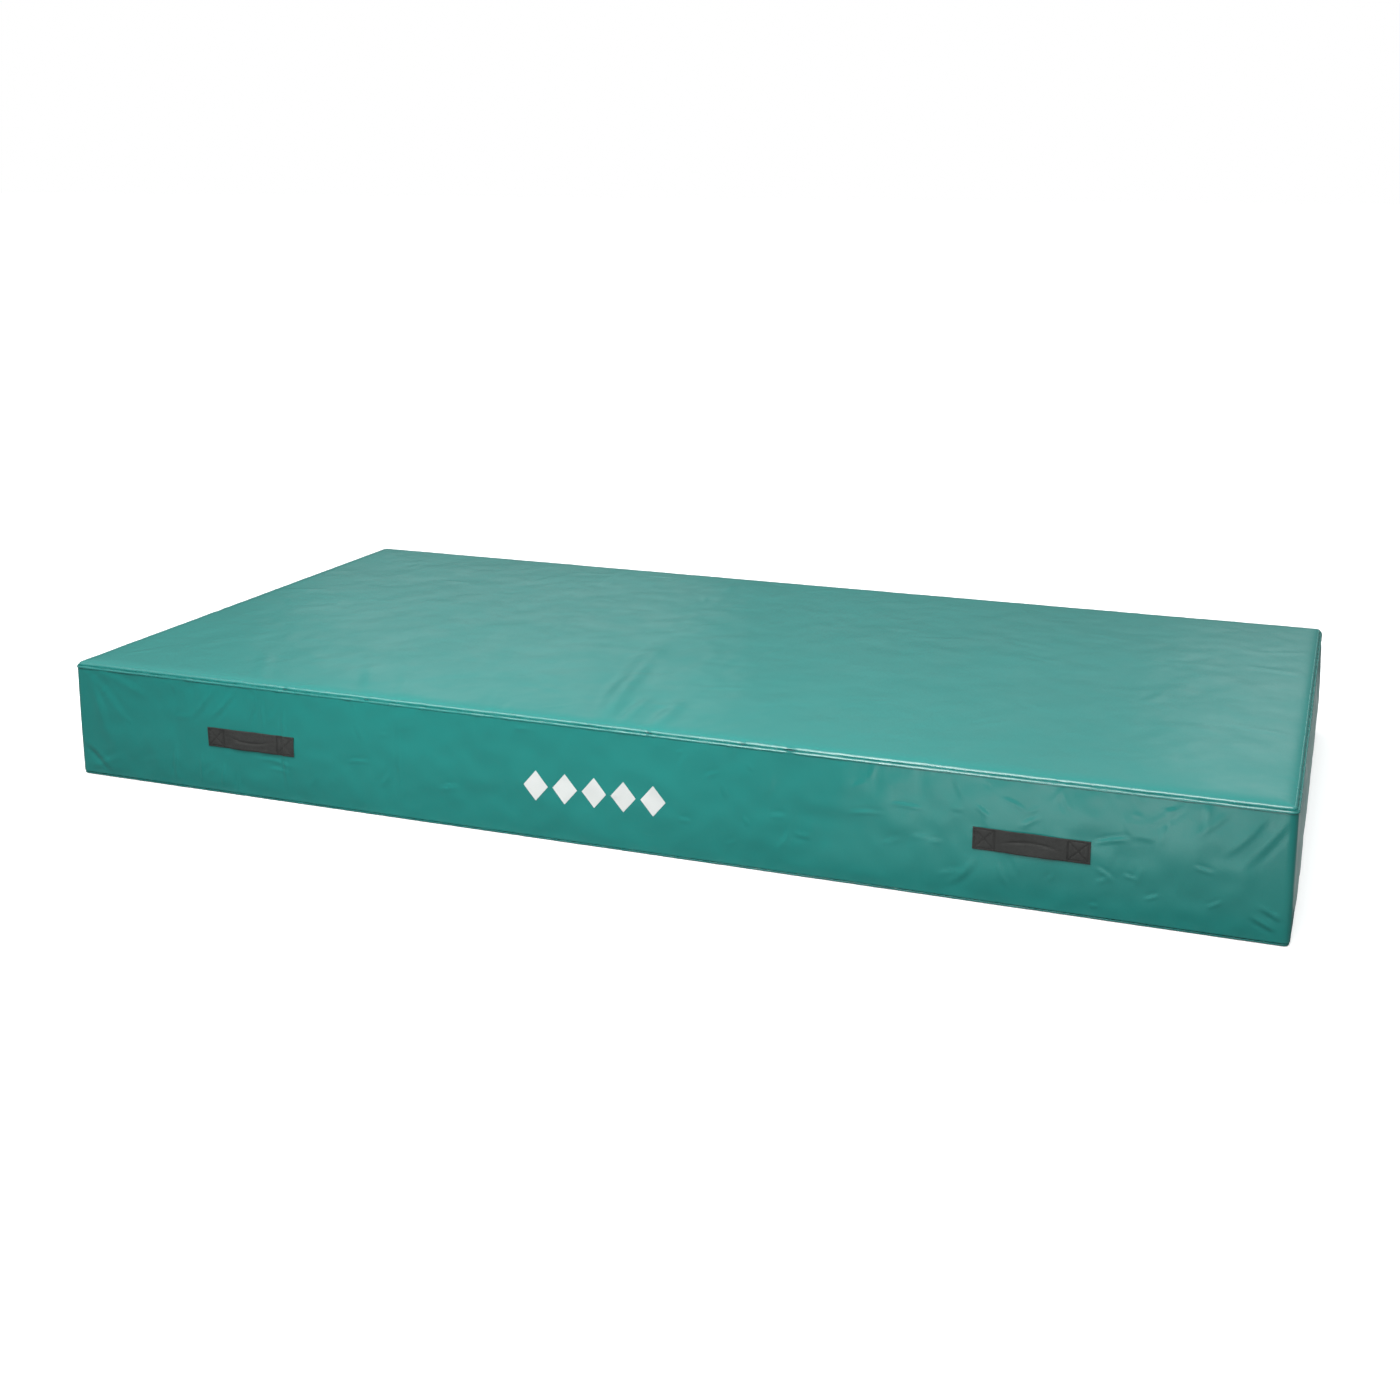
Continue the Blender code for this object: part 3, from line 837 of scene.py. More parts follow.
@dataclass(frozen=True)
class CoatedCloth:
    """Glossy coated fabric over a fine woven scrim."""

    name: str = "coated_cloth"
    colour: Colour = (0.010, 0.205, 0.184)
    rubbed: Colour = (0.09, 0.33, 0.30)
    chalk: Colour = (0.42, 0.46, 0.45)
    roughness: float = 0.33
    gloss: float = 0.5
    thread_pitch: float = 0.0011
    dust_reach: float = 0.030

    def paint(self, base: Base) -> None:
        """Paint it.

        Args:
            base: the material being built.
        """
        sketch = base.sketch
        scuffs = base.group(base.effects.scuffs, Place=base.place, Amount=0.55)
        dust = base.group(base.effects.dust, Place=base.place, Reach=self.dust_reach, Amount=0.04)
        worn = sketch.blend(sketch.sum('MULTIPLY', scuffs, 0.22), base.mottled(self.colour, 2.2, 0.16),
                            (*self.rubbed, 1.0))
        patchy = sketch.spread(sketch.noise(base.place, 6.5, 4.0, 0.6), 0.3, 0.7,
                               self.roughness - 0.035, self.roughness + 0.045)
        base.coat(Base_Color=sketch.blend(dust, worn, (*self.chalk, 1.0)),
                  Roughness=sketch.sum('MULTIPLY_ADD', scuffs, 0.16, patchy),
                  Specular_IOR_Level=self.gloss)
        peel = sketch.noise(base.place, 190.0)
        threads = base.weave(self.thread_pitch, self.thread_pitch)
        height = sketch.sum('MULTIPLY_ADD', threads, 0.22, peel)
        where = sketch.spread(sketch.noise(base.place, 2.4), 0.42, 0.62, 0.5, 3.2)
        height = sketch.sum('MULTIPLY_ADD', sketch.noise(base.place, 36.0, 3.0), where, height)
        base.relief(height, 0.00009, 0.55)


@dataclass(frozen=True)
class Webbing:
    """Heavy woven strap with a herringbone face."""

    name: str = "webbing"
    colour: Colour = (0.026, 0.027, 0.026)
    bright: Colour = (0.056, 0.058, 0.056)
    rib: float = 0.0034

    def paint(self, base: Base) -> None:
        """Paint it.

        Args:
            base: the material being built.
        """
        sketch, place = base.sketch, base.sketch.split(base.map)
        zigzag = sketch.sum('PINGPONG', place[1], self.rib * 1.5)
        slant = sketch.sum('ADD', place[0], sketch.sum('MULTIPLY', zigzag, 0.9))
        turns = sketch.sum('MULTIPLY', sketch.sum('DIVIDE', slant, self.rib * 0.55), math.pi)
        twill = sketch.sum('ABSOLUTE', sketch.sum('SINE', turns))
        height = sketch.sum('MULTIPLY_ADD', base.weave(0.0009, 0.0007), 0.35, twill)
        threads = sketch.blend(sketch.spread(height, 0.2, 1.2, 0.0, 0.65), (*self.colour, 1.0),
                               (*self.bright, 1.0))
        base.coat(Base_Color=base.mottled(threads, 38.0, 0.5),
                  Roughness=sketch.spread(sketch.noise(base.place, 240.0), 0.3, 0.7, 0.62, 0.82),
                  Specular_IOR_Level=0.25)
        base.relief(height, 0.00035, 0.8)


@dataclass(frozen=True)
class PlainFinish:
    """A finish that is one colour with fine grain and slow mottling."""

    name: str
    colour: Colour
    roughness: float
    metallic: float = 0.0
    grain: float = 400.0
    relief: float = 0.00003
    mottling: float = 0.12
    mottle_scale: float = 20.0

    def paint(self, base: Base) -> None:
        """Paint it.

        Args:
            base: the material being built.
        """
        fine = base.sketch.noise(base.place, self.grain, 3.0, 0.6)
        rough = base.sketch.spread(fine, 0.3, 0.7, self.roughness * 0.88, min(1.0, self.roughness * 1.12))
        base.coat(Base_Color=base.mottled(self.colour, self.mottle_scale, self.mottling),
                  Roughness=rough, Metallic=self.metallic)
        base.relief(fine, self.relief)


@dataclass(frozen=True)
class Foam:
    """Cut open-cell foam, or foam chips bonded together."""

    name: str
    colour: Colour
    fleck: Colour
    chips: float
    fleck_share: float

    def paint(self, base: Base) -> None:
        """Paint it.

        Args:
            base: the material being built.
        """
        sketch = base.sketch
        cells = sketch.add("ShaderNodeTexVoronoi", {"Vector": base.place, "Scale": self.chips})
        tint = sketch.add("ShaderNodeSeparateColor", {0: cells.outputs["Color"]})
        first, soft = 1 - self.fleck_share, 0.02
        share = sketch.spread(tint.outputs[0], first - soft, first + soft, 0.0, 1.0)
        pores = sketch.noise(base.place, 900.0, 3.0, 0.7)
        base.coat(Base_Color=sketch.blend(share, (*self.colour, 1.0), (*self.fleck, 1.0)),
                  Roughness=sketch.spread(pores, 0.2, 0.8, 0.88, 1.0))
        base.relief(pores, 0.0006)


@dataclass(frozen=True)
class GripBase:
    """Dark non-slip underside with rows of raised dots."""

    name: str = "grip_base"
    colour: Colour = (0.040, 0.045, 0.047)
    dot: Colour = (0.022, 0.024, 0.025)
    dot_pitch: float = 0.008

    def paint(self, base: Base) -> None:
        """Paint it.

        Args:
            base: the material being built.
        """
        sketch = base.sketch
        waves = [sketch.sum('COSINE', sketch.sum('MULTIPLY', place, math.tau / self.dot_pitch))
                 for place in sketch.split(base.map)[:2]]
        dots = sketch.spread(sketch.sum('ADD', *waves), 0.5, 1.2, 0.0, 1.0)
        base.coat(Base_Color=sketch.blend(dots, base.mottled(self.colour, 5.0, 0.3), (*self.dot, 1.0)),
                  Roughness=sketch.spread(dots, 0.0, 1.0, 0.86, 0.62))
        base.relief(dots, 0.0006)


@dataclass(frozen=True)
class Gauze:
    """Fine woven metal gauze behind a vent, with painted shade in the gaps between its wires."""

    name: str = "vent_gauze"
    # painted shade: the near-black gap colour stands in for the dark inside of the vent, seen between the
    # wires
    gap: Colour = (0.004, 0.004, 0.004)
    wire: Colour = (0.30, 0.29, 0.27)
    pitch: float = 0.0006

    def paint(self, base: Base) -> None:
        """Paint it.

        Args:
            base: the material being built.
        """
        height = base.weave(self.pitch, self.pitch)
        wires = base.sketch.spread(height, 0.25, 0.6, 0.0, 1.0)
        # the gaps between the wires take the painted shade colour; the wires take their own colour
        base.coat(Base_Color=base.sketch.blend(wires, (*self.gap, 1.0), (*self.wire, 1.0)),
                  Roughness=base.sketch.spread(wires, 0.0, 1.0, 0.8, 0.4))
        base.relief(height, 0.0002)


@dataclass(frozen=True)
class StudioFloor:
    """A floor that looks white, and gives back less light than it seems to."""

    name: str = "studio_floor"
    seen: Colour = (0.93, 0.93, 0.93)
    glow: float = 0.42
    lit: Colour = (0.20, 0.20, 0.20)

    def paint(self, base: Base) -> None:
        """Paint it.

        Args:
            base: the material being built.
        """
        sketch = base.sketch
        base.coat(Base_Color=base.mottled(self.seen, 0.6, 0.01), Roughness=1.0, Specular_IOR_Level=0.0,
                  Emission_Color=(1.0, 1.0, 1.0, 1.0), Emission_Strength=self.glow)
        dim = sketch.add("ShaderNodeBsdfDiffuse", {"Color": (*self.lit, 1.0)})
        path = sketch.add("ShaderNodeLightPath")
        mix = sketch.add("ShaderNodeMixShader", {
            0: path.outputs["Is Camera Ray"], 1: dim.outputs[0], 2: base.shader.outputs[0]})
        out = next(node for node in sketch.tree.nodes if node.type == 'OUTPUT_MATERIAL')
        sketch.feed(out.inputs["Surface"], mix.outputs[0])


class Finish(Enum):
    """The mat's finishes."""

    COVER = "cover"
    ROLLED = "rolled_cover"
    GRIP = "grip_base"
    WEBBING = "webbing"
    FILM = "white_film"
    SOFT_FOAM = "soft_foam"
    FIRM_FOAM = "firm_foam"
    CHIP_FOAM = "chip_foam"
    TAPE = "zip_tape"
    COIL = "zip_coil"
    METAL = "nickel"
    GAUZE = "gauze"
    THREAD = "thread"
    DARK_THREAD = "dark_thread"
    FLOOR = "floor"


class Wardrobe:
    """Every finish, built once."""

    def __init__(self) -> None:
        """Build the shared effects and the materials."""
        makers = {
            Finish.COVER: CoatedCloth(),
            Finish.ROLLED: CoatedCloth("coated_cloth_rolled", roughness=0.25, gloss=1.0),
            Finish.GRIP: GripBase(),
            Finish.WEBBING: Webbing(),
            Finish.FILM: PlainFinish("white_film", (0.66, 0.69, 0.68), 0.42, mottling=0.06),
            Finish.SOFT_FOAM: Foam("soft_foam", (0.64, 0.60, 0.46), (0.70, 0.67, 0.55), 300.0, 0.3),
            Finish.FIRM_FOAM: Foam("firm_foam", (0.17, 0.21, 0.27), (0.24, 0.28, 0.34), 500.0, 0.3),
            Finish.CHIP_FOAM: Foam("chip_foam", (0.34, 0.31, 0.27), (0.06, 0.14, 0.32), 90.0, 0.35),
            Finish.TAPE: PlainFinish("zip_tape", (0.022, 0.024, 0.024), 0.85, grain=1500.0, relief=0.0001),
            Finish.COIL: PlainFinish("zip_coil", (0.018, 0.019, 0.019), 0.38, grain=900.0),
            Finish.METAL: PlainFinish("nickel", (0.60, 0.58, 0.54), 0.27, 1.0, grain=1200.0, relief=0.00001),
            Finish.GAUZE: Gauze(),
            Finish.THREAD: PlainFinish("thread", (0.016, 0.235, 0.21), 0.6, grain=2500.0, relief=0.00005),
            Finish.DARK_THREAD: PlainFinish("dark_thread", (0.006, 0.006, 0.006), 0.6, grain=2500.0,
                                            relief=0.00005),
            Finish.FLOOR: StudioFloor(),
        }
        self.materials, effects = {}, Effects()
        for finish, maker in makers.items():
            base = Base(maker.name, effects)
            maker.paint(base)
            self.materials[finish] = base.material

    def dress(self, piece: bpy.types.Object, finish: Finish, slot: str | None = None) -> None:
        """Give a piece its finish.

        Args:
            piece: what is dressed.
            finish: the finish.
            slot: not used.
        """
        piece.data.materials.clear()
        piece.data.materials.append(self.materials[finish])

    def fit(self, piece: bpy.types.Object, finish: Finish, nodes: tuple[str, ...] = (),
            slot: str | None = None) -> None:
        """Dress a piece that rides on the mat.

        Args:
            piece: what is dressed.
            finish: the finish.
            nodes: the CAD nodes that it stands for.
            slot: passed on to dress, which does not use it.
        """
        self.dress(piece, finish, slot)
        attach(piece, MAT)
        if nodes:
            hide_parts(*nodes)
        LOG.info("%s: %d faces", piece.name, len(piece.data.polygons))


# --- the cover, settled over the foam -----------------------------------------------------

@dataclass
class Settled:
    """How far the settled cover stands off its plain form, in metres."""

    top: Array
    side: Array

    def top_rise(self, form: MatForm, x: Array, y: Array) -> Array:
        """Rise of the top.

        Args:
            form: the mat's sizes.
            x: places along the mat.
            y: places across it.

        Returns:
            The rise at each place.
        """
        rows, columns = self.top.shape
        row = (x / form.outline.half_length + 1) / 2 * (rows - 1)
        column = (y / form.outline.half_width + 1) / 2 * (columns - 1)
        return smooth_lookup(self.top, row, column)

    def side_swell(self, form: MatForm, s: Array, z: Array) -> Array:
        """Swell of the sides.

        Args:
            form: the mat's sizes.
            s: places along the walk round the mat.
            z: heights.

        Returns:
            The swell at each place.
        """
        rows, columns = self.side.shape
        row = np.mod(s / form.outline.total, 1.0) * rows
        return smooth_lookup(self.side, row, z / form.height * (columns - 1), wrap=True)


@dataclass(frozen=True)
class Drape:
    """Cloth simulation of the cover: a slightly roomy skin, sewn round its seams, over foam."""

    form: MatForm
    cells: tuple[int, int] = (120, 60)
    side_rows: int = 12
    top_room: float = 0.0016
    side_room: float = 0.0030
    frames: int = 32
    cap: float = 0.006
    edge_drop: float = 0.006
    edge_reach: float = 0.03
    foam_gap: float = 0.0045
    foam_middle: float = 0.15
    foam_half_height: float = 0.1465
    foam_bevel: float = 0.010
    foam_skin: float = 0.001
    cover_skin: float = 0.0015

    CLOTH = {"quality": 6, "mass": 0.0004, "tension_stiffness": 30.0, "compression_stiffness": 30.0,
             "shear_stiffness": 12.0, "bending_stiffness": 1.2, "air_damping": 4.0,
             "vertex_group_mass": "pinned", "vertex_group_shrink": "roomy"}

    def cage(self) -> tuple[Array, list[tuple[int, ...]], Array, Array]:
        """The coarse skin before it settles.

        Returns:
            Its points, faces, the numbers of the top's points as a grid, and the side's.
        """
        across, deep = self.cells
        outline = self.form.outline
        x = np.linspace(-outline.half_length, outline.half_length, across + 1)
        y = np.linspace(-outline.half_width, outline.half_width, deep + 1)
        gx, gy = np.meshgrid(x, y, indexing="ij")
        depth = np.minimum(outline.half_length - np.abs(gx), outline.half_width - np.abs(gy))
        gz = self.form.height - self.edge_drop + self.edge_drop * (1 - np.exp(-depth / self.edge_reach))
        points = [np.stack((gx, gy, gz), -1).reshape(-1, 3)]
        faces = [tuple(face) for face in grid_faces(across + 1, deep + 1)]
        top = np.arange((across + 1) * (deep + 1)).reshape(across + 1, deep + 1)
        ring = np.concatenate((top[0, ::-1][:-1], top[:, 0][:-1], top[-1, :][:-1], top[::-1, -1][:-1]))
        side = np.zeros((ring.size, self.side_rows + 1), dtype=int)
        side[:, -1] = ring
        count = top.size
        for row in range(self.side_rows):
            side[:, row] = np.arange(count, count + ring.size)
            count += ring.size
            below = points[0][ring].copy()
            below[:, 2] *= row / self.side_rows
            points.append(below)
        for j in range(ring.size):
            k = (j + 1) % ring.size
            for row in range(self.side_rows):
                faces.append((side[j, row], side[k, row], side[k, row + 1], side[j, row + 1]))
        return np.concatenate(points), faces, top, side

    def foam(self) -> bpy.types.Object:
        """The block that the cover rests on while it settles."""
        outline, gap = self.form.outline, self.foam_gap
        bpy.ops.mesh.primitive_cube_add(size=2.0, location=(0.0, 0.0, self.foam_middle))
        block = bpy.context.object
        block.scale = (outline.half_length - gap, outline.half_width - gap, self.foam_half_height)
        bpy.ops.object.transform_apply(location=True, scale=True)
        bevel = block.modifiers.new("rim", 'BEVEL')
        bevel.width, bevel.segments = self.foam_bevel, 3
        collision = block.modifiers.new("push", 'COLLISION')
        collision.settings.thickness_outer = self.foam_skin
        return block

    def run(self) -> Settled:
        """Let the cover settle and measure it.

        Returns:
            How far it stands off its plain form.
        """
        points, faces, top, side = self.cage()
        skin = add_object("cover_cage", mesh_from("cover_cage", points, faces))
        pinned = skin.vertex_groups.new(name="pinned")
        sewn = np.unique(np.concatenate((side[:, 0], side[:, -1])))
        pinned.add(sewn.tolist(), 1.0, 'REPLACE')
        roomy = skin.vertex_groups.new(name="roomy")
        roomy.add(np.unique(side[:, 1:-1]).tolist(), 1.0, 'REPLACE')
        block = self.foam()
        cloth = skin.modifiers.new("cloth", 'CLOTH')
        for key, value in self.CLOTH.items():
            setattr(cloth.settings, key, value)
        cloth.settings.shrink_min, cloth.settings.shrink_max = -self.top_room, -self.side_room
        cloth.collision_settings.distance_min = self.cover_skin
        cloth.point_cache.frame_end = self.frames
        scene = bpy.context.scene
        for frame in range(1, self.frames + 1):
            scene.frame_set(frame)
        settled = skin.evaluated_get(bpy.context.evaluated_depsgraph_get()).data
        after = np.empty(len(settled.vertices) * 3)
        settled.vertices.foreach_get("co", after)
        moved = after.reshape(-1, 3) - points
        for piece in (skin, block):
            bpy.data.objects.remove(piece)
        scene.frame_set(1)
        outward = np.zeros((len(side), 2))
        across, deep = self.cells
        for facing, start, count in (((-1, 0), 0, deep), ((0, -1), deep, across),
                                     ((1, 0), deep + across, deep), ((0, 1), 2 * deep + across, across)):
            outward[start:start + count] = facing
        swell = (moved[side][..., :2] * outward[:, None]).sum(-1)
        rise = moved[top][..., 2]
        LOG.info("drape: top %.1f to %.1f mm, sides %.1f to %.1f mm", rise.min() * 1e3, rise.max() * 1e3,
                 swell.min() * 1e3, swell.max() * 1e3)
        return Settled(np.clip(rise, -self.cap, self.cap), np.clip(swell, -self.cap, self.cap))

    def flat(self) -> Settled:
        across, deep = self.cells
        return Settled(np.zeros((across + 1, deep + 1)), np.zeros((2 * (across + deep), self.side_rows + 1)))


@dataclass
class Skin:
    """The cover's surface: where it lies at any place, with its swell, puckers and creases."""

    form: MatForm
    settled: Settled
    rim_inset: float = 0.005
    rim_height: float = 0.2958
    crowns: tuple[tuple[float, float], ...] = ((0.0050, 0.009), (0.0034, 0.050))
    side_bulge: float = 0.0045
    pucker: float = 0.0007
    rise_share: float = 0.6
    top_wave: float = 0.0006
    side_wave: float = 0.0009
    lowest_top: float = 0.2992
    floor_edge: float = 0.008
    top_edge: float = 0.010

    def __post_init__(self) -> None:
        """Draw the noises and fold the creases."""
        self.slow, self.fine, self.gather = Ripple(11), Ripple(23), Ripple(37)
        self.top_creases, self.side_creases = self._top_folds(), self._side_folds()

    def _top_folds(self) -> list[Crease]:
        """Folds in the top, in metres along and across the mat."""
        folds = [
            Crease((-0.010, -0.762), (-0.120, -0.20), 0.026, 0.0074, 0.016),
            Crease((0.035, -0.762), (0.005, -0.50), 0.015, 0.0036, 0.006),
            Crease((0.105, -0.762), (0.080, -0.50), 0.019, 0.0042, -0.004),
            Crease((-0.11, -0.36), (-0.15, -0.04), 0.026, 0.0034),
            Crease((-0.62, -0.765), (-0.81, -0.44), 0.021, 0.0024),
            Crease((-0.53, -0.765), (-0.66, -0.52), 0.016, 0.0016),
            Crease((-0.93, -0.765), (-1.11, -0.46), 0.018, 0.0014),
            Crease((-0.30, -0.765), (-0.36, -0.60), 0.012, 0.0014),
            Crease((-0.26, -0.765), (-0.29, -0.66), 0.009, 0.0010),
            Crease((-1.42, -0.66), (-1.34, -0.54), 0.010, 0.0010),
            Crease((-0.87, -0.757), (-0.80, -0.71), 0.009, 0.0011),
            Crease((-0.62, 0.758), (-0.58, 0.46), 0.015, 0.0016),
            Crease((-0.54, 0.758), (-0.55, 0.56), 0.012, 0.0011),
            Crease((-0.21, 0.66), (-0.19, 0.50), 0.014, 0.0011),
            Crease((1.485, -0.30), (1.28, -0.24), 0.015, 0.0010),
            Crease((1.485, 0.22), (1.31, 0.26), 0.014, 0.0009),
            Crease((-1.485, 0.10), (-1.30, 0.14), 0.014, 0.0010),
        ]
        return folds + self._scattered(41, 46, (-1.45, 1.45), (-0.72, 0.72), (0.06, 0.22), 0.0009)

    def _side_folds(self) -> list[Crease]:
        """Creases in the sides, in metres along the front from its middle, and above the floor."""
        folds = [
            Crease((-0.868, 0.005), (-0.872, 0.292), 0.0055, 0.0019, 0.004),
            Crease((-0.550, 0.010), (-0.553, 0.290), 0.0060, 0.0009),
            Crease((-0.955, 0.290), (-0.985, 0.185), 0.0050, 0.0015, 0.008),
            Crease((-0.935, 0.275), (-0.930, 0.180), 0.0050, 0.0012, -0.005),
            Crease((-1.010, 0.290), (-1.100, 0.190), 0.0070, 0.0016, 0.010),
            Crease((-1.070, 0.290), (-1.170, 0.180), 0.0080, 0.0014, 0.012),
            Crease((-0.965, 0.105), (-0.840, 0.094), 0.0050, 0.0013, 0.008),
            Crease((-0.930, 0.083), (-0.850, 0.075), 0.0045, 0.0010, 0.006),
            Crease((-0.700, 0.128), (-0.625, 0.136), 0.0045, 0.0010, 0.004),
            Crease((-1.200, 0.010), (-1.192, 0.125), 0.0060, 0.0015, 0.004),
            Crease((-1.130, 0.010), (-1.118, 0.110), 0.0055, 0.0014, -0.004),
            Crease((-1.065, 0.010), (-1.050, 0.095), 0.0050, 0.0012),
            Crease((-1.020, 0.010), (-1.012, 0.070), 0.0045, 0.0010),
            Crease((-1.480, 0.288), (-1.330, 0.130), 0.0110, 0.0013, 0.010),
            Crease((-1.465, 0.285), (-1.400, 0.090), 0.0120, 0.0014, 0.004),
            Crease((-1.450, 0.287), (-1.250, 0.215), 0.0100, 0.0010, 0.006),
            Crease((-1.497, 0.085), (-1.400, 0.004), 0.0090, -0.0022, 0.004),
            Crease((-1.490, 0.020), (-1.350, 0.075), 0.0090, 0.0013, -0.006),
            Crease((0.655, 0.200), (0.745, 0.196), 0.0042, 0.0012, 0.003),
            Crease((0.560, 0.165), (0.660, 0.175), 0.0045, 0.0011, 0.004),
            Crease((0.845, 0.225), (0.885, 0.195), 0.0045, 0.0012),
            Crease((0.900, 0.245), (0.965, 0.218), 0.0045, 0.0011, 0.004),
            Crease((1.160, 0.110), (1.195, 0.103), 0.0038, 0.0011),
            Crease((1.205, 0.060), (1.245, 0.078), 0.0042, 0.0012),
            Crease((1.300, 0.150), (1.350, 0.138), 0.0042, 0.0011),
            Crease((1.330, 0.060), (1.370, 0.085), 0.0042, 0.0010),
            Crease((1.475, 0.030), (1.415, 0.062), 0.0055, 0.0020),
            Crease((1.485, 0.055), (1.430, 0.085), 0.0055, 0.0017),
            Crease((1.490, 0.286), (1.380, 0.140), 0.0085, 0.0011, 0.006),
            Crease((1.450, 0.287), (1.345, 0.165), 0.0080, 0.0009, 0.006),
            Crease((1.380, 0.287), (1.290, 0.205), 0.0080, 0.0008, 0.004),
            Crease((1.290, 0.288), (1.190, 0.215), 0.0080, 0.0007, 0.004),
            Crease((1.095, 0.168), (1.185, 0.190), 0.0050, 0.0014, 0.004),
            Crease((1.100, 0.120), (1.150, 0.085), 0.0050, 0.0012, 0.004),
            Crease((0.855, 0.112), (0.780, 0.030), 0.0080, 0.0013, 0.010),
            Crease((0.900, 0.112), (0.930, 0.040), 0.0060, 0.0010, -0.006),
        ]
        reach = self.form.outline.half_length
        folds += self._scattered(53, 46, (0.15, reach - 0.03), (0.03, 0.27), (0.02, 0.08), 0.0010)
        folds += self._scattered(59, 26, (-reach, 0.1), (0.03, 0.27), (0.03, 0.10), 0.0009)
        around = self.form.outline.total / 2
        folds += self._scattered(67, 36, (-around, -reach - 0.1), (0.03, 0.27), (0.04, 0.14), 0.0007)
        return folds + self._scattered(71, 36, (reach + 0.1, around), (0.03, 0.27), (0.04, 0.14), 0.0007)

    @staticmethod
    def _scattered(seed: int, count: int, u: tuple[float, float], v: tuple[float, float],
                   length: tuple[float, float], depth: float) -> list[Crease]:
        """Small creases at random places.

        Args:
            seed: fixes the draw.
            count: how many.
            u: range of the first coordinate.
            v: range of the second coordinate.
            length: range of lengths.
            depth: the deepest.

        Returns:
            The creases.
        """
        rng = np.random.default_rng(seed)
        creases = []
        for _ in range(count):
            x, y, angle = rng.uniform(*u), rng.uniform(*v), rng.uniform(0.0, math.pi)
            run, share = rng.uniform(*length), rng.uniform(0.4, 1.0)
            end = (x + run * math.cos(angle), y + run * math.sin(angle))
            creases.append(Crease((x, y), end, 0.05 * run + 0.0035, depth * share,
                                  rng.uniform(-0.08, 0.08) * run))
        return creases

    def top_height(self, x: Array, y: Array) -> Array:
        """Height of the top of the cover.

        Args:
            x: places along the mat.
            y: places across it.

        Returns:
            The height at each place.
        """
        depth = self.form.outline.depth(x, y) - self.rim_inset
        inside = np.maximum(depth, 0.0)
        free = ease(inside / 0.05)
        crown = sum(height * (1 - np.exp(-inside / reach)) for height, reach in self.crowns)
        rise = self.rise_share * self.settled.top_rise(self.form, x, y)
        rise = rise + self.top_wave * self.slow(x / 0.35, y / 0.35)
        near_long = self.form.outline.half_length - np.abs(x) > self.form.outline.half_width - np.abs(y)
        along = np.where(near_long, x, y + 9.0)
        gathers = self.gather(along / 0.024, inside / 0.09) + 0.6 * self.fine(along / 0.011, inside / 0.05)
        puckers = self.pucker * gathers * np.exp(-inside / 0.035) * ease(inside / 0.006)
        strength = 0.35 + 0.65 * ease(0.5 + 1.4 * self.slow(along / 0.31, 7.7 + 0 * along))
        folds = join_lifts(self.top_creases, x, y) * ease(inside / 0.012)
        height = self.rim_height + crown + free * rise + strength * puckers + folds
        return np.where(inside > 0.03, np.maximum(height, self.lowest_top), height)

    def side_swell(self, s: Array, z: Array) -> Array:
        """How far the side of the cover stands out from the plain outline.

        Args:
            s: places along the walk round the mat.
            z: heights.

        Returns:
            The distance at each place.
        """
        form, outline = self.form, self.form.outline
        s, z = np.broadcast_arrays(np.asarray(s, float), np.asarray(z, float))
        share = np.clip(z / form.height, 0.0, 1.0)
        level = ease(z / 0.035) * ease((form.height - z) / 0.035)
        point, _ = outline.places(s)
        to_corner = np.hypot(outline.half_length - np.abs(point[..., 0]),
                             outline.half_width - np.abs(point[..., 1]))
        open_side = 0.25 + 0.75 * ease((to_corner - 0.01) / 0.10)
        barrel = self.side_bulge * np.sin(math.pi * share) ** 0.8 * open_side
        swell = self.settled.side_swell(form, s, z) * level * ease((to_corner - 0.03) / 0.06)
        slow = self.side_wave * self.slow(s / 0.28, z / 0.16) * level * open_side
        gathers = self.gather(s / 0.026, z / 0.11) + 0.6 * self.fine(s / 0.012, z / 0.07)
        below_top, above_floor = form.height - self.top_edge - z, z - self.floor_edge
        edge = np.exp(-below_top / 0.030) + 0.7 * np.exp(-above_floor / 0.024)
        puckers = 0.8 * self.pucker * gathers * np.minimum(edge, 1.0)
        along = self.along_front(s)
        folds = join_lifts(self.side_creases, along, z) * ease((z - 0.003) / 0.01)
        free = self.free_of_fittings(s, z)
        sewn = ease(above_floor / 0.006) * ease(below_top / 0.006)
        return (barrel + swell + slow + (puckers + folds) * (0.3 + 0.7 * sewn)) * free

    def along_front(self, s: Array) -> Array:
        """Distance along the walk from the middle of the front, both ways round.

        Args:
            s: places along the walk.

        Returns:
            The distance, less than 0 to the left.
        """
        outline = self.form.outline
        middle = outline.front_s(0.0)
        return np.mod(s - middle + outline.total / 2, outline.total) - outline.total / 2

    def free_of_fittings(self, s: Array, z: Array) -> Array:
        """How free the cover is of the zip and the vents, which hold it flat.

        Args:
            s: places along the walk round the mat.
            z: heights.

        Returns:
            0 at a fitting, and 1 away from them.
        """
        form, outline = self.form, self.form.outline
        free = np.ones(np.broadcast(s, z).shape)
        at_back = np.mod(s, outline.total) > outline.back_start - 0.02
        near_zip = ease((np.abs(z - form.zip_z) - 0.016) / 0.04)
        free = np.where(at_back, free * near_zip, free)
        point, _ = outline.places(s)
        at_end = np.abs(point[..., 0]) > outline.half_length - 0.001
        for y, height in form.vents:
            away = ease((np.hypot(point[..., 1] - y, z - height) - 0.014) / 0.05)
            free = np.where(at_end, np.minimum(free, away), free)
        return free

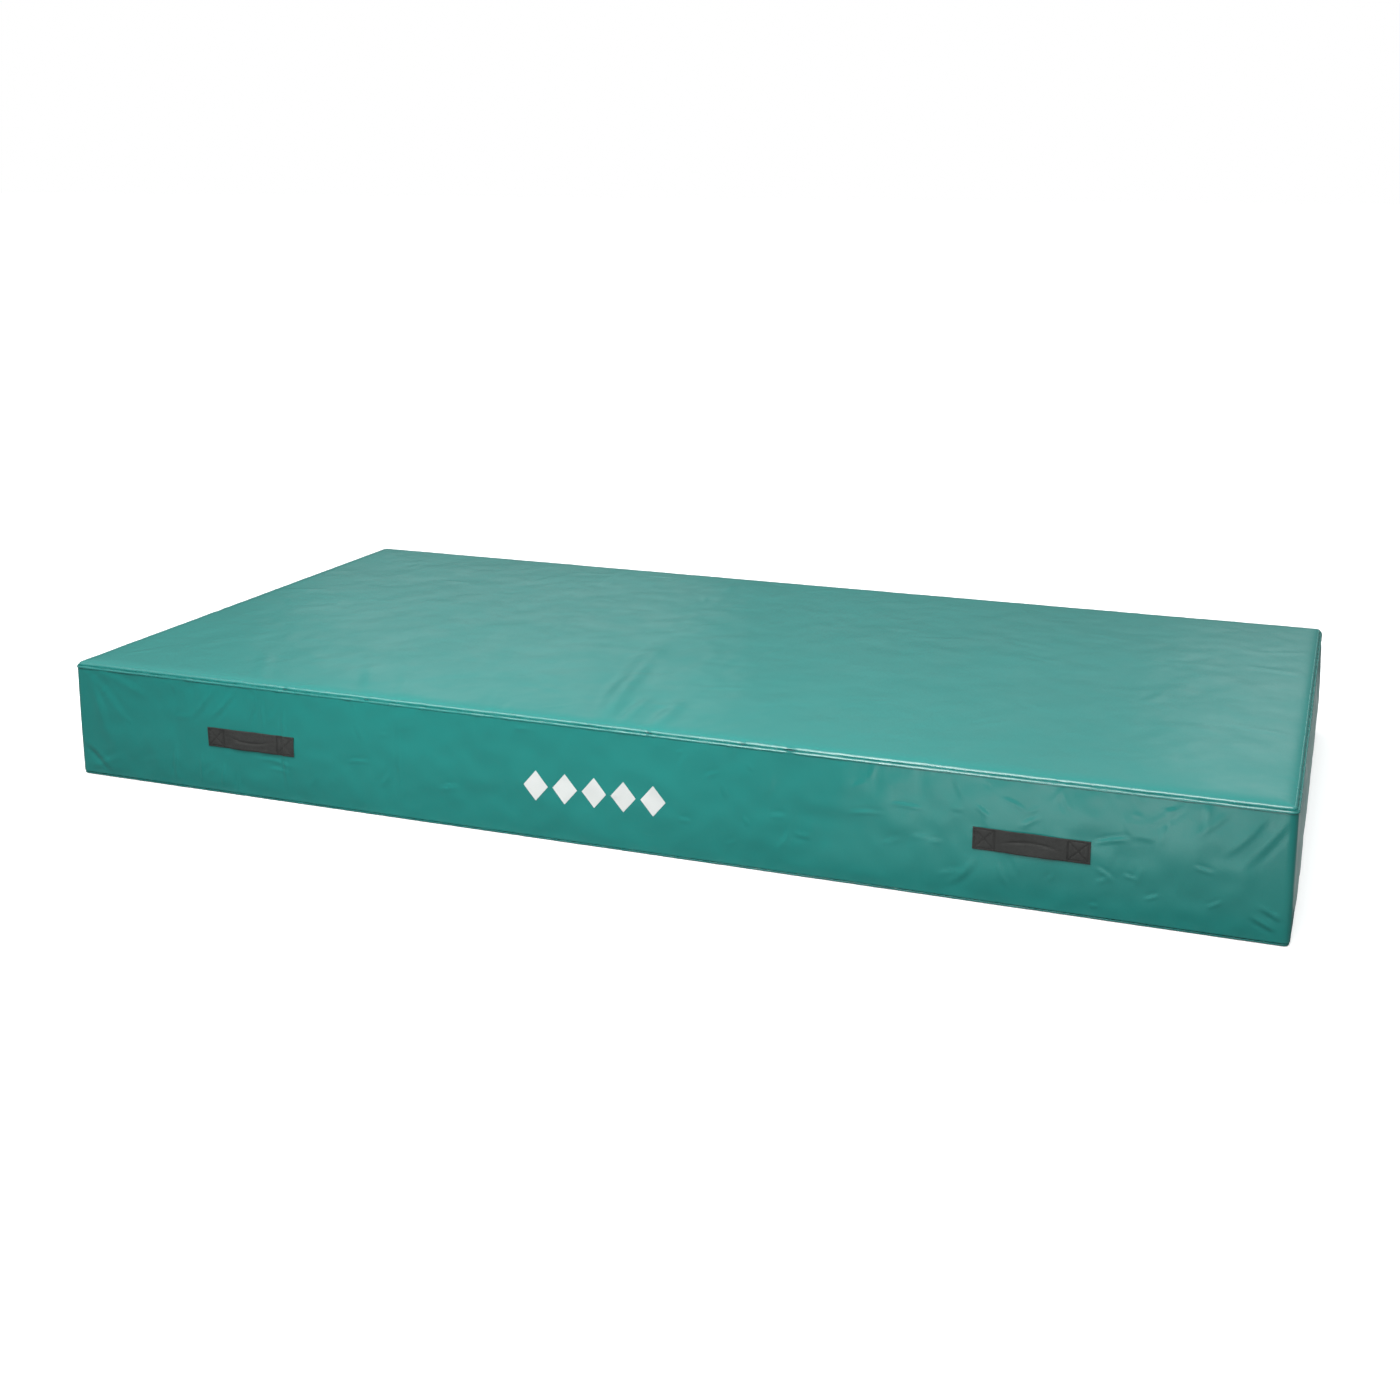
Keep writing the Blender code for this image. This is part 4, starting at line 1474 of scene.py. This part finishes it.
    def on_side(self, s: Array, z: Array, lift: Array | float = 0.0) -> Array:
        """Points on the side of the cover, or a little off it.

        Args:
            s: places along the walk round the mat.
            z: heights.
            lift: how far off the cover.

        Returns:
            Rows of x, y, z.
        """
        s, z, lift = np.broadcast_arrays(np.asarray(s, float), np.asarray(z, float), np.asarray(lift, float))
        point, normal = self.form.outline.places(s)
        out = self.side_swell(s, z) + lift
        flat = point + normal * out[..., None]
        return np.concatenate((flat, z[..., None]), -1)


def sheet_normals(points: Array) -> Array:
    """Unit normals of a sheet.

    Args:
        points: a grid of points on it.

    Returns:
        The normal at each point.
    """
    along, across = np.gradient(points, axis=0), np.gradient(points, axis=1)
    normal = np.cross(along, across)
    return normal / np.linalg.norm(normal, axis=-1, keepdims=True)


def closed_sheet(name: str, outer: Array, uv: Array, thickness: float, coarse: int = 4) -> bpy.types.Object:
    """A sheet with a fine outer face, and a plainer inner face that closes it.

    Args:
        name: the piece's name.
        outer: grid of points; its rows and columns, less one, divide by coarse.
        uv: the same grid, in metres along the fabric.
        thickness: how thick it is.
        coarse: how many outer cells one inner cell covers, each way.

    Returns:
        The new object.
    """
    rows, columns = outer.shape[:2]
    inner = (outer - thickness * sheet_normals(outer))[::coarse, ::coarse]
    inner_rows, inner_columns = inner.shape[:2]
    first = rows * columns

    def rim(count: int, width: int, start: int) -> list[int]:
        grid = np.arange(count * width).reshape(count, width) + start
        return np.concatenate((grid[0, :-1], grid[:-1, -1], grid[-1, :0:-1], grid[:0:-1, 0])).tolist()

    outside, inside = rim(rows, columns, 0), rim(inner_rows, inner_columns, first)
    faces = [tuple(face) for face in grid_faces(rows, columns)]
    faces += [tuple(face) for face in grid_faces(inner_rows, inner_columns, first, flip=True)]
    for number, corner in enumerate(inside):
        start = number * coarse
        edge = [outside[(start + step) % len(outside)] for step in range(coarse + 1)]
        faces.append((*edge, inside[(number + 1) % len(inside)], corner))
    points = np.concatenate((outer.reshape(-1, 3), inner.reshape(-1, 3)))
    maps = np.concatenate((uv.reshape(-1, 2), uv[::coarse, ::coarse].reshape(-1, 2)))
    piece = add_object(name, mesh_from(name, points, faces, maps))
    piece.data.set_sharp_from_angle(angle=math.radians(50))
    return piece


@dataclass
class Cover:
    """The coated cover's panels."""

    form: MatForm
    skin: Skin
    wardrobe: Wardrobe
    cloth: float = 0.0011
    under_cloth: float = 0.0014
    seam: float = 0.0083
    step: float = 0.0065
    close: float = 0.0034

    def finish(self, piece: bpy.types.Object, finish: Finish, fill: float, *nodes: str) -> None:
        """Dress a panel and hide the CAD nodes that it stands for.

        Args:
            piece: the panel.
            finish: its finish.
            fill: not used.
            nodes: the CAD nodes it stands for.
        """
        self.wardrobe.fit(piece, finish, nodes)

    def top(self) -> None:
        """The landing face."""
        outline, inset = self.form.outline, self.skin.rim_inset
        x = in_fours(2 * (outline.half_length - inset), self.step, 0.10, 0.0045) - outline.half_length + inset
        y = in_fours(2 * (outline.half_width - inset), 0.0085, 0.13, 0.0042) - outline.half_width + inset
        gx, gy = np.meshgrid(x, y, indexing="ij")
        gx, gy = outline.round_off(gx, gy, inset)
        points = np.stack((gx, gy, self.skin.top_height(gx, gy)), -1)
        piece = closed_sheet("landing_cover", points, np.stack((gx, gy), -1), self.cloth)
        self.finish(piece, Finish.COVER, 0.85, "top_panel")

    def band(self) -> Array:
        """Places round both ends and the front, closer together at corners and along the front."""
        outline = self.form.outline
        corner = outline.quarter + 0.012
        stops = (0.0, corner, outline.front_start - corner,
                 outline.front_start + outline.long_run + corner, outline.back_start - corner,
                 outline.back_start)
        steps = (self.close, self.step, self.close, self.step, self.close)
        runs = [start + in_fours(end - start, step) for start, end, step in zip(stops, stops[1:], steps)]
        return np.concatenate([run[:-1] for run in runs] + [runs[-1][-1:]])

    def side(self, name: str, s: Array, low: float, high: float, *nodes: str) -> None:
        """One upright panel.

        Args:
            name: its name.
            s: its places on the walk.
            low: its lower edge.
            high: its upper edge.
            nodes: the CAD nodes it stands for.
        """
        fine = 0.03 if high - low > 0.1 else 0.0
        z = low + in_fours(high - low, 0.0038, fine, 0.0030)
        gs, gz = np.meshgrid(s, z, indexing="ij")
        piece = closed_sheet(name, self.skin.on_side(gs, gz), np.stack((gs, gz), -1), self.cloth)
        self.finish(piece, Finish.COVER, 0.8, *nodes)

    def underside(self) -> None:
        """The heavy non-slip base."""
        outline = self.form.outline
        x = np.linspace(-1, 1, 81) * (outline.half_length - self.seam)
        y = np.linspace(-1, 1, 41) * (outline.half_width - self.seam)
        gx, gy = np.meshgrid(x, y, indexing="ij")
        gx, gy = outline.round_off(gx, gy, self.seam)
        sag = 0.0004 * (1 + self.skin.slow(gx / 0.2, gy / 0.2)) * ease(outline.depth(gx, gy) / 0.05)
        points = np.stack((gx, gy, sag), -1)[::-1]
        maps = np.stack((gx, gy), -1)[::-1]
        self.finish(closed_sheet("non_slip_base", points, maps, self.under_cloth), Finish.GRIP, 0.9,
                    "bottom_panel")

    def build(self) -> None:
        """Every panel."""
        outline = self.form.outline
        low, high = self.seam, self.form.height - self.seam
        self.top()
        self.side("front_and_end_cover", self.band(), low, high,
                  "front_side_panel", "left_end_panel", "right_end_panel")
        slot = self.form.zip_half_slot
        back = outline.back_start + in_fours(outline.long_run, self.step * 0.8)
        self.side("back_upper_cover", back, self.form.zip_z + slot, high, "back_upper_panel")
        self.side("back_lower_cover", back, low, self.form.zip_z - slot, "back_lower_panel")
        self.underside()


# --- seams and stitches -------------------------------------------------------------------

@dataclass(frozen=True)
class Nick:
    """A place where a rolled seam is pinched."""

    x: float
    reach: float
    share: float


@dataclass(frozen=True)
class Roll:
    """One rolled edge of a seam that runs all the way round the mat."""

    name: str
    inset: float
    height: float
    half_wide: float
    half_thick: float
    node: str
    seed: int
    nicks: tuple[Nick, ...] = ()
    finish: Finish = Finish.ROLLED
    lean: float = 132.0
    step: float = 0.005
    around: int = 12

    def build(self, form: MatForm, wardrobe: Wardrobe) -> None:
        """Sweep the roll round the outline.

        Args:
            form: the mat's sizes.
            wardrobe: the finishes.
        """
        outline = form.outline
        rings = round(outline.total / self.step)
        s = np.arange(rings) * outline.total / rings
        noise, wander = Ripple(self.seed), Ripple(self.seed + 1)
        point, normal = outline.places(s)
        turns = s / outline.total * 256
        size = 1 + 0.10 * noise(turns * 1.6, 0.5) + 0.06 * noise(turns * 5.1, 3.5)
        along = s - outline.front_s(0.0)
        for nick in self.nicks:
            size *= 1 - nick.share * np.exp(-((along - nick.x) / nick.reach) ** 2)
        inset = self.inset + 0.0003 * wander(turns * 0.9, 1.5)
        height = self.height + 0.0003 * wander(turns * 0.8, 6.5)
        angle = np.linspace(0, math.tau, self.around, endpoint=False)
        lean = np.radians(self.lean + 9 * wander(turns * 1.1, 11.5))[:, None]
        wide = self.half_wide * np.cos(angle)
        thick = self.half_thick * np.sin(angle)
        across = size[:, None] * (wide * np.cos(lean) - thick * np.sin(lean)) - inset[:, None]
        level = size[:, None] * (wide * np.sin(lean) + thick * np.cos(lean)) + height[:, None]
        level = np.maximum(level, 0.0001)
        flat = point[:, None] + normal[:, None] * across[..., None]
        points = np.concatenate((flat, level[..., None]), -1)
        gs, gt = np.meshgrid(s, angle * self.half_wide, indexing="ij")
        piece = add_object(self.name, mesh_from(self.name, points, tube_faces(rings, self.around),
                                                np.stack((gs, gt), -1)))
        point_outwards(piece)
        wardrobe.fit(piece, self.finish, (self.node,), "cover")


@dataclass
class Needle:
    """Makes rows of stitches along paths with Geometry Nodes."""

    wardrobe: Wardrobe

    def __post_init__(self) -> None:
        """Build the stitching tree once."""
        tree = bpy.data.node_groups.new("Stitches", 'GeometryNodeTree')
        tree.interface.new_socket("Paths", in_out='INPUT', socket_type='NodeSocketGeometry')
        tree.interface.new_socket("Stitched", in_out='OUTPUT', socket_type='NodeSocketGeometry')
        kinds = dict.fromkeys(("Pitch", "Length", "Thickness", "Across"), 'NodeSocketFloat')
        kinds["Finish"] = 'NodeSocketMaterial'
        self.sockets = {label: tree.interface.new_socket(label, in_out='INPUT', socket_type=kind).identifier
                        for label, kind in kinds.items()}
        sketch = Sketch(tree)
        start = sketch.add("NodeGroupInput").outputs
        curve = sketch.add("GeometryNodeMeshToCurve", {"Mesh": start["Paths"]})
        spaced = sketch.add("GeometryNodeResampleCurve", {
            "Curve": curve.outputs[0], "Length": start["Pitch"]}, mode='LENGTH')
        bead = sketch.add("GeometryNodeMeshUVSphere", {"Segments": 6, "Rings": 4, "Radius": 0.5})
        size = sketch.add("ShaderNodeCombineXYZ", {
            0: start["Length"], 1: start["Thickness"], 2: start["Across"]})
        shaped = sketch.add("GeometryNodeTransform", {
            "Geometry": bead.outputs["Mesh"], "Scale": size.outputs[0]})
        tangent = sketch.add("GeometryNodeInputTangent")
        facing = sketch.add("FunctionNodeAlignRotationToVector", {"Vector": tangent.outputs[0]}, axis='X')
        vary = sketch.add("FunctionNodeRandomValue", {2: 0.88, 3: 1.1, "Seed": 5}, data_type='FLOAT')
        placed = sketch.add("GeometryNodeInstanceOnPoints", {
            "Points": spaced.outputs[0], "Instance": shaped.outputs[0],
            "Rotation": facing.outputs[0], "Scale": vary.outputs[1]})
        real = sketch.add("GeometryNodeRealizeInstances", {0: placed.outputs[0]})
        smooth = sketch.add("GeometryNodeSetShadeSmooth", {0: real.outputs[0]})
        dressed = sketch.add("GeometryNodeSetMaterial", {
            "Geometry": smooth.outputs[0], "Material": start["Finish"]})
        sketch.add("NodeGroupOutput", {0: dressed.outputs[0]})
        self.tree = tree

    def sew(self, name: str, paths: list[Array], finish: Finish, slot: str, pitch: float = 0.0042,
            length: float = 0.0034, thickness: float = 0.0010, across: float | None = None,
            nodes: tuple[str, ...] = ()) -> None:
        """Sew along paths, as one piece.

        Args:
            name: the piece's name.
            paths: rows of points, one array for each row of stitches.
            finish: the thread's finish.
            slot: passed on to the wardrobe, which does not use it.
            pitch: from one stitch to the next.
            length: a stitch's length.
            thickness: a stitch's thickness.
            across: a stitch's width, if it isn't its thickness.
            nodes: CAD nodes that the result stands for.
        """
        points, edges, first = [], [], 0
        for path in paths:
            points += path.tolist()
            edges += [(first + step, first + step + 1) for step in range(len(path) - 1)]
            first += len(path)
        mesh = bpy.data.meshes.new(name + "_paths")
        mesh.from_pydata(points, edges, [])
        guide = add_object(name + "_paths", mesh)
        modifier = guide.modifiers.new("stitches", 'NODES')
        modifier.node_group = self.tree
        values = {"Pitch": pitch, "Length": length, "Thickness": thickness,
                  "Across": across or thickness, "Finish": self.wardrobe.materials[finish]}
        for label, value in values.items():
            modifier[self.sockets[label]] = value
        graph = bpy.context.evaluated_depsgraph_get()
        result = bpy.data.meshes.new_from_object(guide.evaluated_get(graph))
        result.name = name
        bpy.data.objects.remove(guide)
        piece = add_object(name, result)
        self.wardrobe.fit(piece, finish, nodes, slot)


@dataclass
class Seams:
    """The rolled seams round the top and the bottom, and their thread."""

    form: MatForm
    wardrobe: Wardrobe
    needle: Needle
    upper: tuple[float, float, float, float] = (0.0064, 0.2946, 0.0046, 0.0023)
    lower: tuple[float, float, float, float] = (0.0008, 0.2883, 0.0043, 0.0022)
    bottom: tuple[float, float, float, float] = (0.0042, 0.0034, 0.0033, 0.0028)
    groove_inset: float = 0.0020
    groove_height: float = 0.2928

    def build(self) -> None:
        """Both rolls of the top seam, the bottom seam, and the thread in the groove."""
        nicks = (Nick(-0.87, 0.006, 0.45), Nick(-0.64, 0.005, 0.35), Nick(-0.056, 0.005, 0.4),
                 Nick(0.094, 0.005, 0.45), Nick(0.321, 0.006, 0.5), Nick(0.431, 0.010, 0.6),
                 Nick(1.02, 0.005, 0.35))
        for roll in (Roll("top_seam_upper_roll", *self.upper, "top_seam", 101, nicks),
                     Roll("top_seam_lower_roll", *self.lower, "top_seam", 113, nicks[1::2]),
                     Roll("bottom_seam_roll", *self.bottom, "bottom_seam", 127, finish=Finish.COVER,
                          lean=20.0)):
            roll.build(self.form, self.wardrobe)
        outline = self.form.outline
        s = np.linspace(0.0, outline.total, 1800)
        point, normal = outline.places(s)
        flat = point - normal * self.groove_inset
        path = np.column_stack((flat, np.full(s.size, self.groove_height)))
        self.needle.sew("top_seam_thread", [path], Finish.THREAD, "cover", pitch=0.0058, length=0.0046,
                        thickness=0.0009)


# --- handles ------------------------------------------------------------------------------

class Side(Enum):
    """The two long sides of the mat."""

    FRONT = "front"
    BACK = "back"


@dataclass
class Handle:
    """A webbing handle: two sewn ends with box and cross stitching, and a loose grip."""

    side: Side
    hand: str
    form: MatForm
    skin: Skin
    wardrobe: Wardrobe
    needle: Needle
    crease: float = 0.1
    thickness: float = 0.0024
    bow: float = 0.0018
    ramp: float = 0.050
    gap: float = 0.0003
    step: float = 0.0016
    sewing_inset: float = 0.0042
    stitch_dent: float = 0.0009
    stitch_reach: float = 0.0016
    fold_dent: float = 0.0015
    fold_reach: float = 0.0032

    def __post_init__(self) -> None:
        """Find the handle's place."""
        self.name = f"{self.side.value}_{self.hand}_handle"
        low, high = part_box(self.name + "_grip")
        self.x = (low[0] + high[0]) / 2
        outline = self.form.outline
        self.middle = outline.front_s(self.x) if self.side is Side.FRONT else outline.back_s(self.x)
        self.wander = Ripple(200 + len(self.name))
        whole, free = self.form.handle_half_length, self.form.handle_half_free
        self.box_middle, self.half_box = (whole + free) / 2, (whole - free) / 2 - self.sewing_inset
        self.half_height = self.form.handle_half_width - self.sewing_inset

    def lift(self, u: Array, v: Array) -> Array:
        """How far the inside of the webbing stands off the cover.

        Args:
            u: distance along the handle from its middle.
            v: distance across it from its middle.

        Returns:
            The distance.
        """
        free = ease((self.form.handle_half_free - np.abs(u)) / self.ramp)
        twist = 0.0006 * self.wander(u / 0.05, 2.5 + v / 0.08)
        return self.gap + free * (self.bow + twist)

    def dents(self, u: Array, v: Array) -> Array:
        """How far stitches and the lengthwise crease sink into the webbing.

        Args:
            u: distance along the handle from its middle.
            v: distance across it from its middle.

        Returns:
            The depth.
        """
        form, half_box, half_height = self.form, self.half_box, self.half_height
        p, q = np.abs(u) - self.box_middle, v
        edge = np.minimum(np.abs(np.abs(p) - half_box) + 9 * (np.abs(q) > half_height + 0.001),
                          np.abs(np.abs(q) - half_height) + 9 * (np.abs(p) > half_box + 0.001))
        cross = np.abs(np.abs(p) / half_box - np.abs(q) / half_height) * half_box * 0.7
        inside = (np.abs(p) < half_box) & (np.abs(q) < half_height)
        away = np.minimum(edge, np.where(inside, cross, 9.0))
        sewn = self.stitch_dent * np.exp(-(away / self.stitch_reach) ** 2)
        middle = self.crease * form.handle_half_width * (1 - 3 * (u / form.handle_half_free) ** 2)
        free = ease((form.handle_half_free - 0.006 - np.abs(u)) / 0.04)
        folded = self.fold_dent * np.exp(-((v - middle) / self.fold_reach) ** 2) * free
        return sewn + folded

    def half(self, sign: int) -> None:
        """One half of the webbing, from its sewn end to its middle.

        Args:
            sign: -1 or 1, which half along the walk.
        """
        form = self.form
        u = in_fours(form.handle_half_length, self.step)
        u = u - form.handle_half_length if sign < 0 else u
        v = in_fours(2 * form.handle_half_width, self.step) - form.handle_half_width
        gu, gv = np.meshgrid(u, v, indexing="ij")
        edge = np.clip((np.abs(gv) / form.handle_half_width - 0.94) / 0.06, 0.0, 1.0)
        rounded = self.thickness * (1 - 0.35 * edge ** 2)
        tip = np.clip((np.abs(gu) - form.handle_half_length + 0.0025) / 0.0025, 0.0, 1.0)
        lift = self.lift(gu, gv) + rounded * (1 - 0.3 * tip ** 2) - self.dents(gu, gv)
        wave = 0.0004 * self.wander(gu / 0.03, 9.5) * ease(np.abs(gv) / form.handle_half_width)
        points = self.skin.on_side(self.middle + gu, form.handle_z + gv + wave, lift)
        side = "near" if sign < 0 else "far"
        name = f"{self.name}_webbing_{side}"
        piece = closed_sheet(name, points, np.stack((gu, gv), -1), self.thickness * 0.8, coarse=2)
        self.wardrobe.dress(piece, Finish.WEBBING)
        self.hinge(piece, sign)

    def hinge(self, piece: bpy.types.Object, sign: int) -> None:
        """Bake a half's place into its mesh, and hide the CAD end and grip that it stands for.

        Args:
            piece: the half.
            sign: which half along the walk.
        """
        way = sign if self.side is Side.FRONT else -sign
        _, y, _ = self.skin.on_side(self.middle, self.form.handle_z)
        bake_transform(piece)
        names = [f"{self.name}_end_1", f"{self.name}_end_2"]
        here = [name for name in names if (sum(corner[0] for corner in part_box(name)) / 2 - self.x) * way > 0]
        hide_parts(*here, self.name + "_grip")

    def stitches(self) -> None:
        """Box and cross stitching through both ends."""
        half_box, half_height = self.half_box, self.half_height
        corners = [(-1, -1), (1, -1), (1, 1), (-1, 1), (-1, -1)]
        lines = list(zip(corners[:-1], corners[1:])) + [((-1, -1), (1, 1)), ((-1, 1), (1, -1))]
        paths = []
        for sign in (-1, 1):
            centre = sign * self.box_middle
            rows = [((a[0] * half_box, a[1] * half_height), (b[0] * half_box, b[1] * half_height))
                    for a, b in lines]
            inner = -sign * (half_box + 0.0026)
            rows.append(((inner, -half_height), (inner, half_height)))
            for (a, b), (c, d) in rows:
                share = np.linspace(0, 1, 40)
                u, v = centre + a + (c - a) * share, b + (d - b) * share
                lift = self.lift(u, v) + self.thickness - self.dents(u, v) + 0.0002
                paths.append(self.skin.on_side(self.middle + u, self.form.handle_z + v, lift))
        self.needle.sew(self.name + "_stitches", paths, Finish.DARK_THREAD, "webbing", pitch=0.0036,
                        length=0.0032, thickness=0.0013)

    def build(self) -> None:
        """Both halves and the stitches."""
        for sign in (-1, 1):
            self.half(sign)
        self.stitches()


# --- mark, zip, vents and foam ------------------------------------------------------------

@dataclass
class Mark:
    """A row of plain white lozenges on the front."""

    form: MatForm
    skin: Skin
    wardrobe: Wardrobe
    film: float = 0.0004
    cells: int = 24

    def lozenge(self, node: str) -> None:
        """Lay one lozenge on the cover.

        Args:
            node: the CAD node that it stands for.
        """
        low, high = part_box(node)
        half_x, half_z = (high[0] - low[0]) / 2, (high[2] - low[2]) / 2
        share = np.linspace(-0.5, 0.5, self.cells + 1)
        a, b = np.meshgrid(share, share, indexing="ij")
        x = (low[0] + high[0]) / 2 + (a - b) * half_x
        z = (low[2] + high[2]) / 2 + (a + b) * half_z
        points = self.skin.on_side(self.form.outline.front_s(x), z, self.film + 0.0003)
        piece = closed_sheet(node.replace("centre", "white"), points, np.stack((x, z), -1), self.film)
        self.wardrobe.fit(piece, Finish.FILM, (node,))

    def build(self, nodes: dict[str, bpy.types.Object]) -> None:
        """Lay every lozenge.

        Args:
            nodes: the CAD pieces.
        """
        names = sorted(name for name in nodes if name.startswith("centre_mark_"))
        for name in names:
            self.lozenge(name)
        LOG.info("centre mark: %d lozenges", len(names))


@dataclass
class Fittings:
    """The zip, vents, patches and foam: CAD pieces in their finishes, with their fine detail."""

    wardrobe: Wardrobe
    needle: Needle
    tooth_pitch: float = 0.0022
    gauze_radius: float = 0.0058
    gauze_depth: float = 0.0004
    gauze_thickness: float = 0.0002
    gauze_sides: int = 24

    FINISHES = {"vent_eyelet": Finish.METAL, "vent_washer": Finish.METAL, "slider": Finish.METAL,
                "pull": Finish.METAL, "_stop": Finish.METAL, "end_patch": Finish.COVER,
                "backing": Finish.COVER, "_tape": Finish.TAPE, "base_foam": Finish.CHIP_FOAM,
                "core_foam": Finish.SOFT_FOAM, "top_foam": Finish.FIRM_FOAM}

    def dress_nodes(self, nodes: dict[str, bpy.types.Object]) -> None:
        """Give each CAD piece that stays its finish.

        Args:
            nodes: the CAD pieces.
        """
        for name, node in nodes.items():
            finish = next((finish for word, finish in self.FINISHES.items() if word in name), None)
            if finish:
                self.wardrobe.dress(node, finish)

    def teeth(self) -> None:
        """The two rows of interlocking teeth."""
        for row, shift in (("upper", 0.0), ("lower", 0.5)):
            low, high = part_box(f"zip_{row}_coil")
            y, z = (low[1] + high[1]) / 2, (low[2] + high[2]) / 2
            start = low[0] + self.tooth_pitch * (0.5 + shift)
            x = np.linspace(start, high[0] - self.tooth_pitch, 400)
            path = np.column_stack((x, np.full(x.size, y), np.full(x.size, z)))
            self.needle.sew(f"zip_{row}_teeth", [path], Finish.COIL, "zip_coil", pitch=self.tooth_pitch,
                            length=self.tooth_pitch * 0.62, thickness=(high[1] - low[1]) * 0.98,
                            across=high[2] - low[2], nodes=(f"zip_{row}_coil",))

    def hems(self) -> None:
        """Rows of stitching along both sides of the zip."""
        low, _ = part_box("zip_lower_tape")
        _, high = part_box("zip_upper_tape")
        panel_low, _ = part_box("back_upper_panel")
        _, panel_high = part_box("back_lower_panel")
        x = np.linspace(low[0] + 0.01, high[0] - 0.01, 300)
        y = panel_high[1] + 0.0003
        paths = [np.column_stack((x, np.full(x.size, y), np.full(x.size, z)))
                 for z in (panel_low[2] + 0.003, panel_high[2] - 0.003)]
        self.needle.sew("zip_hem_stitches", paths, Finish.THREAD, "cover")

    def gauze(self, node: str) -> None:
        """The fine gauze inside one vent.

        Args:
            node: the eyelet's CAD node.
        """
        low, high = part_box(node)
        way = 1.0 if low[0] > 0 else -1.0
        y, z = (low[1] + high[1]) / 2, (low[2] + high[2]) / 2
        outer = max(abs(low[0]), abs(high[0])) - self.gauze_depth
        radius, sides = self.gauze_radius, self.gauze_sides
        angle = np.linspace(0, math.tau, sides, endpoint=False)
        rings = [np.column_stack((np.full(sides, way * (outer - back)), y + radius * np.cos(angle),
                                  z + radius * np.sin(angle))) for back in (0.0, self.gauze_thickness)]
        points = np.concatenate(rings)
        maps = points[:, 1:] - (y, z)
        piece = add_object(node.replace("eyelet", "gauze"),
                           mesh_from(node + "_gauze", points, tube_faces(2, sides, closed=False), maps))
        piece.data.set_sharp_from_angle(angle=math.radians(40))
        point_outwards(piece)
        self.wardrobe.fit(piece, Finish.GAUZE, slot="nickel")

    def build(self, nodes: dict[str, bpy.types.Object]) -> None:
        """Every fitting.

        Args:
            nodes: the CAD pieces.
        """
        self.dress_nodes(nodes)
        self.teeth()
        self.hems()
        for name in sorted(nodes):
            if "vent_eyelet" in name:
                self.gauze(name)
        LOG.info("fittings done")


def main() -> None:
    """Load the frame and build the mat round it."""
    logging.basicConfig(level=logging.INFO, format="%(name)s: %(message)s")
    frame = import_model()
    studio = Studio()
    studio.place_camera()
    wardrobe = Wardrobe()
    studio.lay_floor(wardrobe.materials[Finish.FLOOR])
    studio.hang_lights()
    studio.paint_world()
    studio.set_colour()

    form = MatForm.from_frame()
    drape = Drape(form)
    skin = Skin(form, drape.run())
    Cover(form, skin, wardrobe).build()
    needle = Needle(wardrobe)
    Seams(form, wardrobe, needle).build()
    for side in Side:
        for hand, crease in (("left", -0.2), ("right", 0.15)):
            Handle(side, hand, form, skin, wardrobe, needle, crease).build()
    Mark(form, skin, wardrobe).build(frame["nodes"])
    Fittings(wardrobe, needle).build(frame["nodes"])


if __name__ == "__main__":
    main()
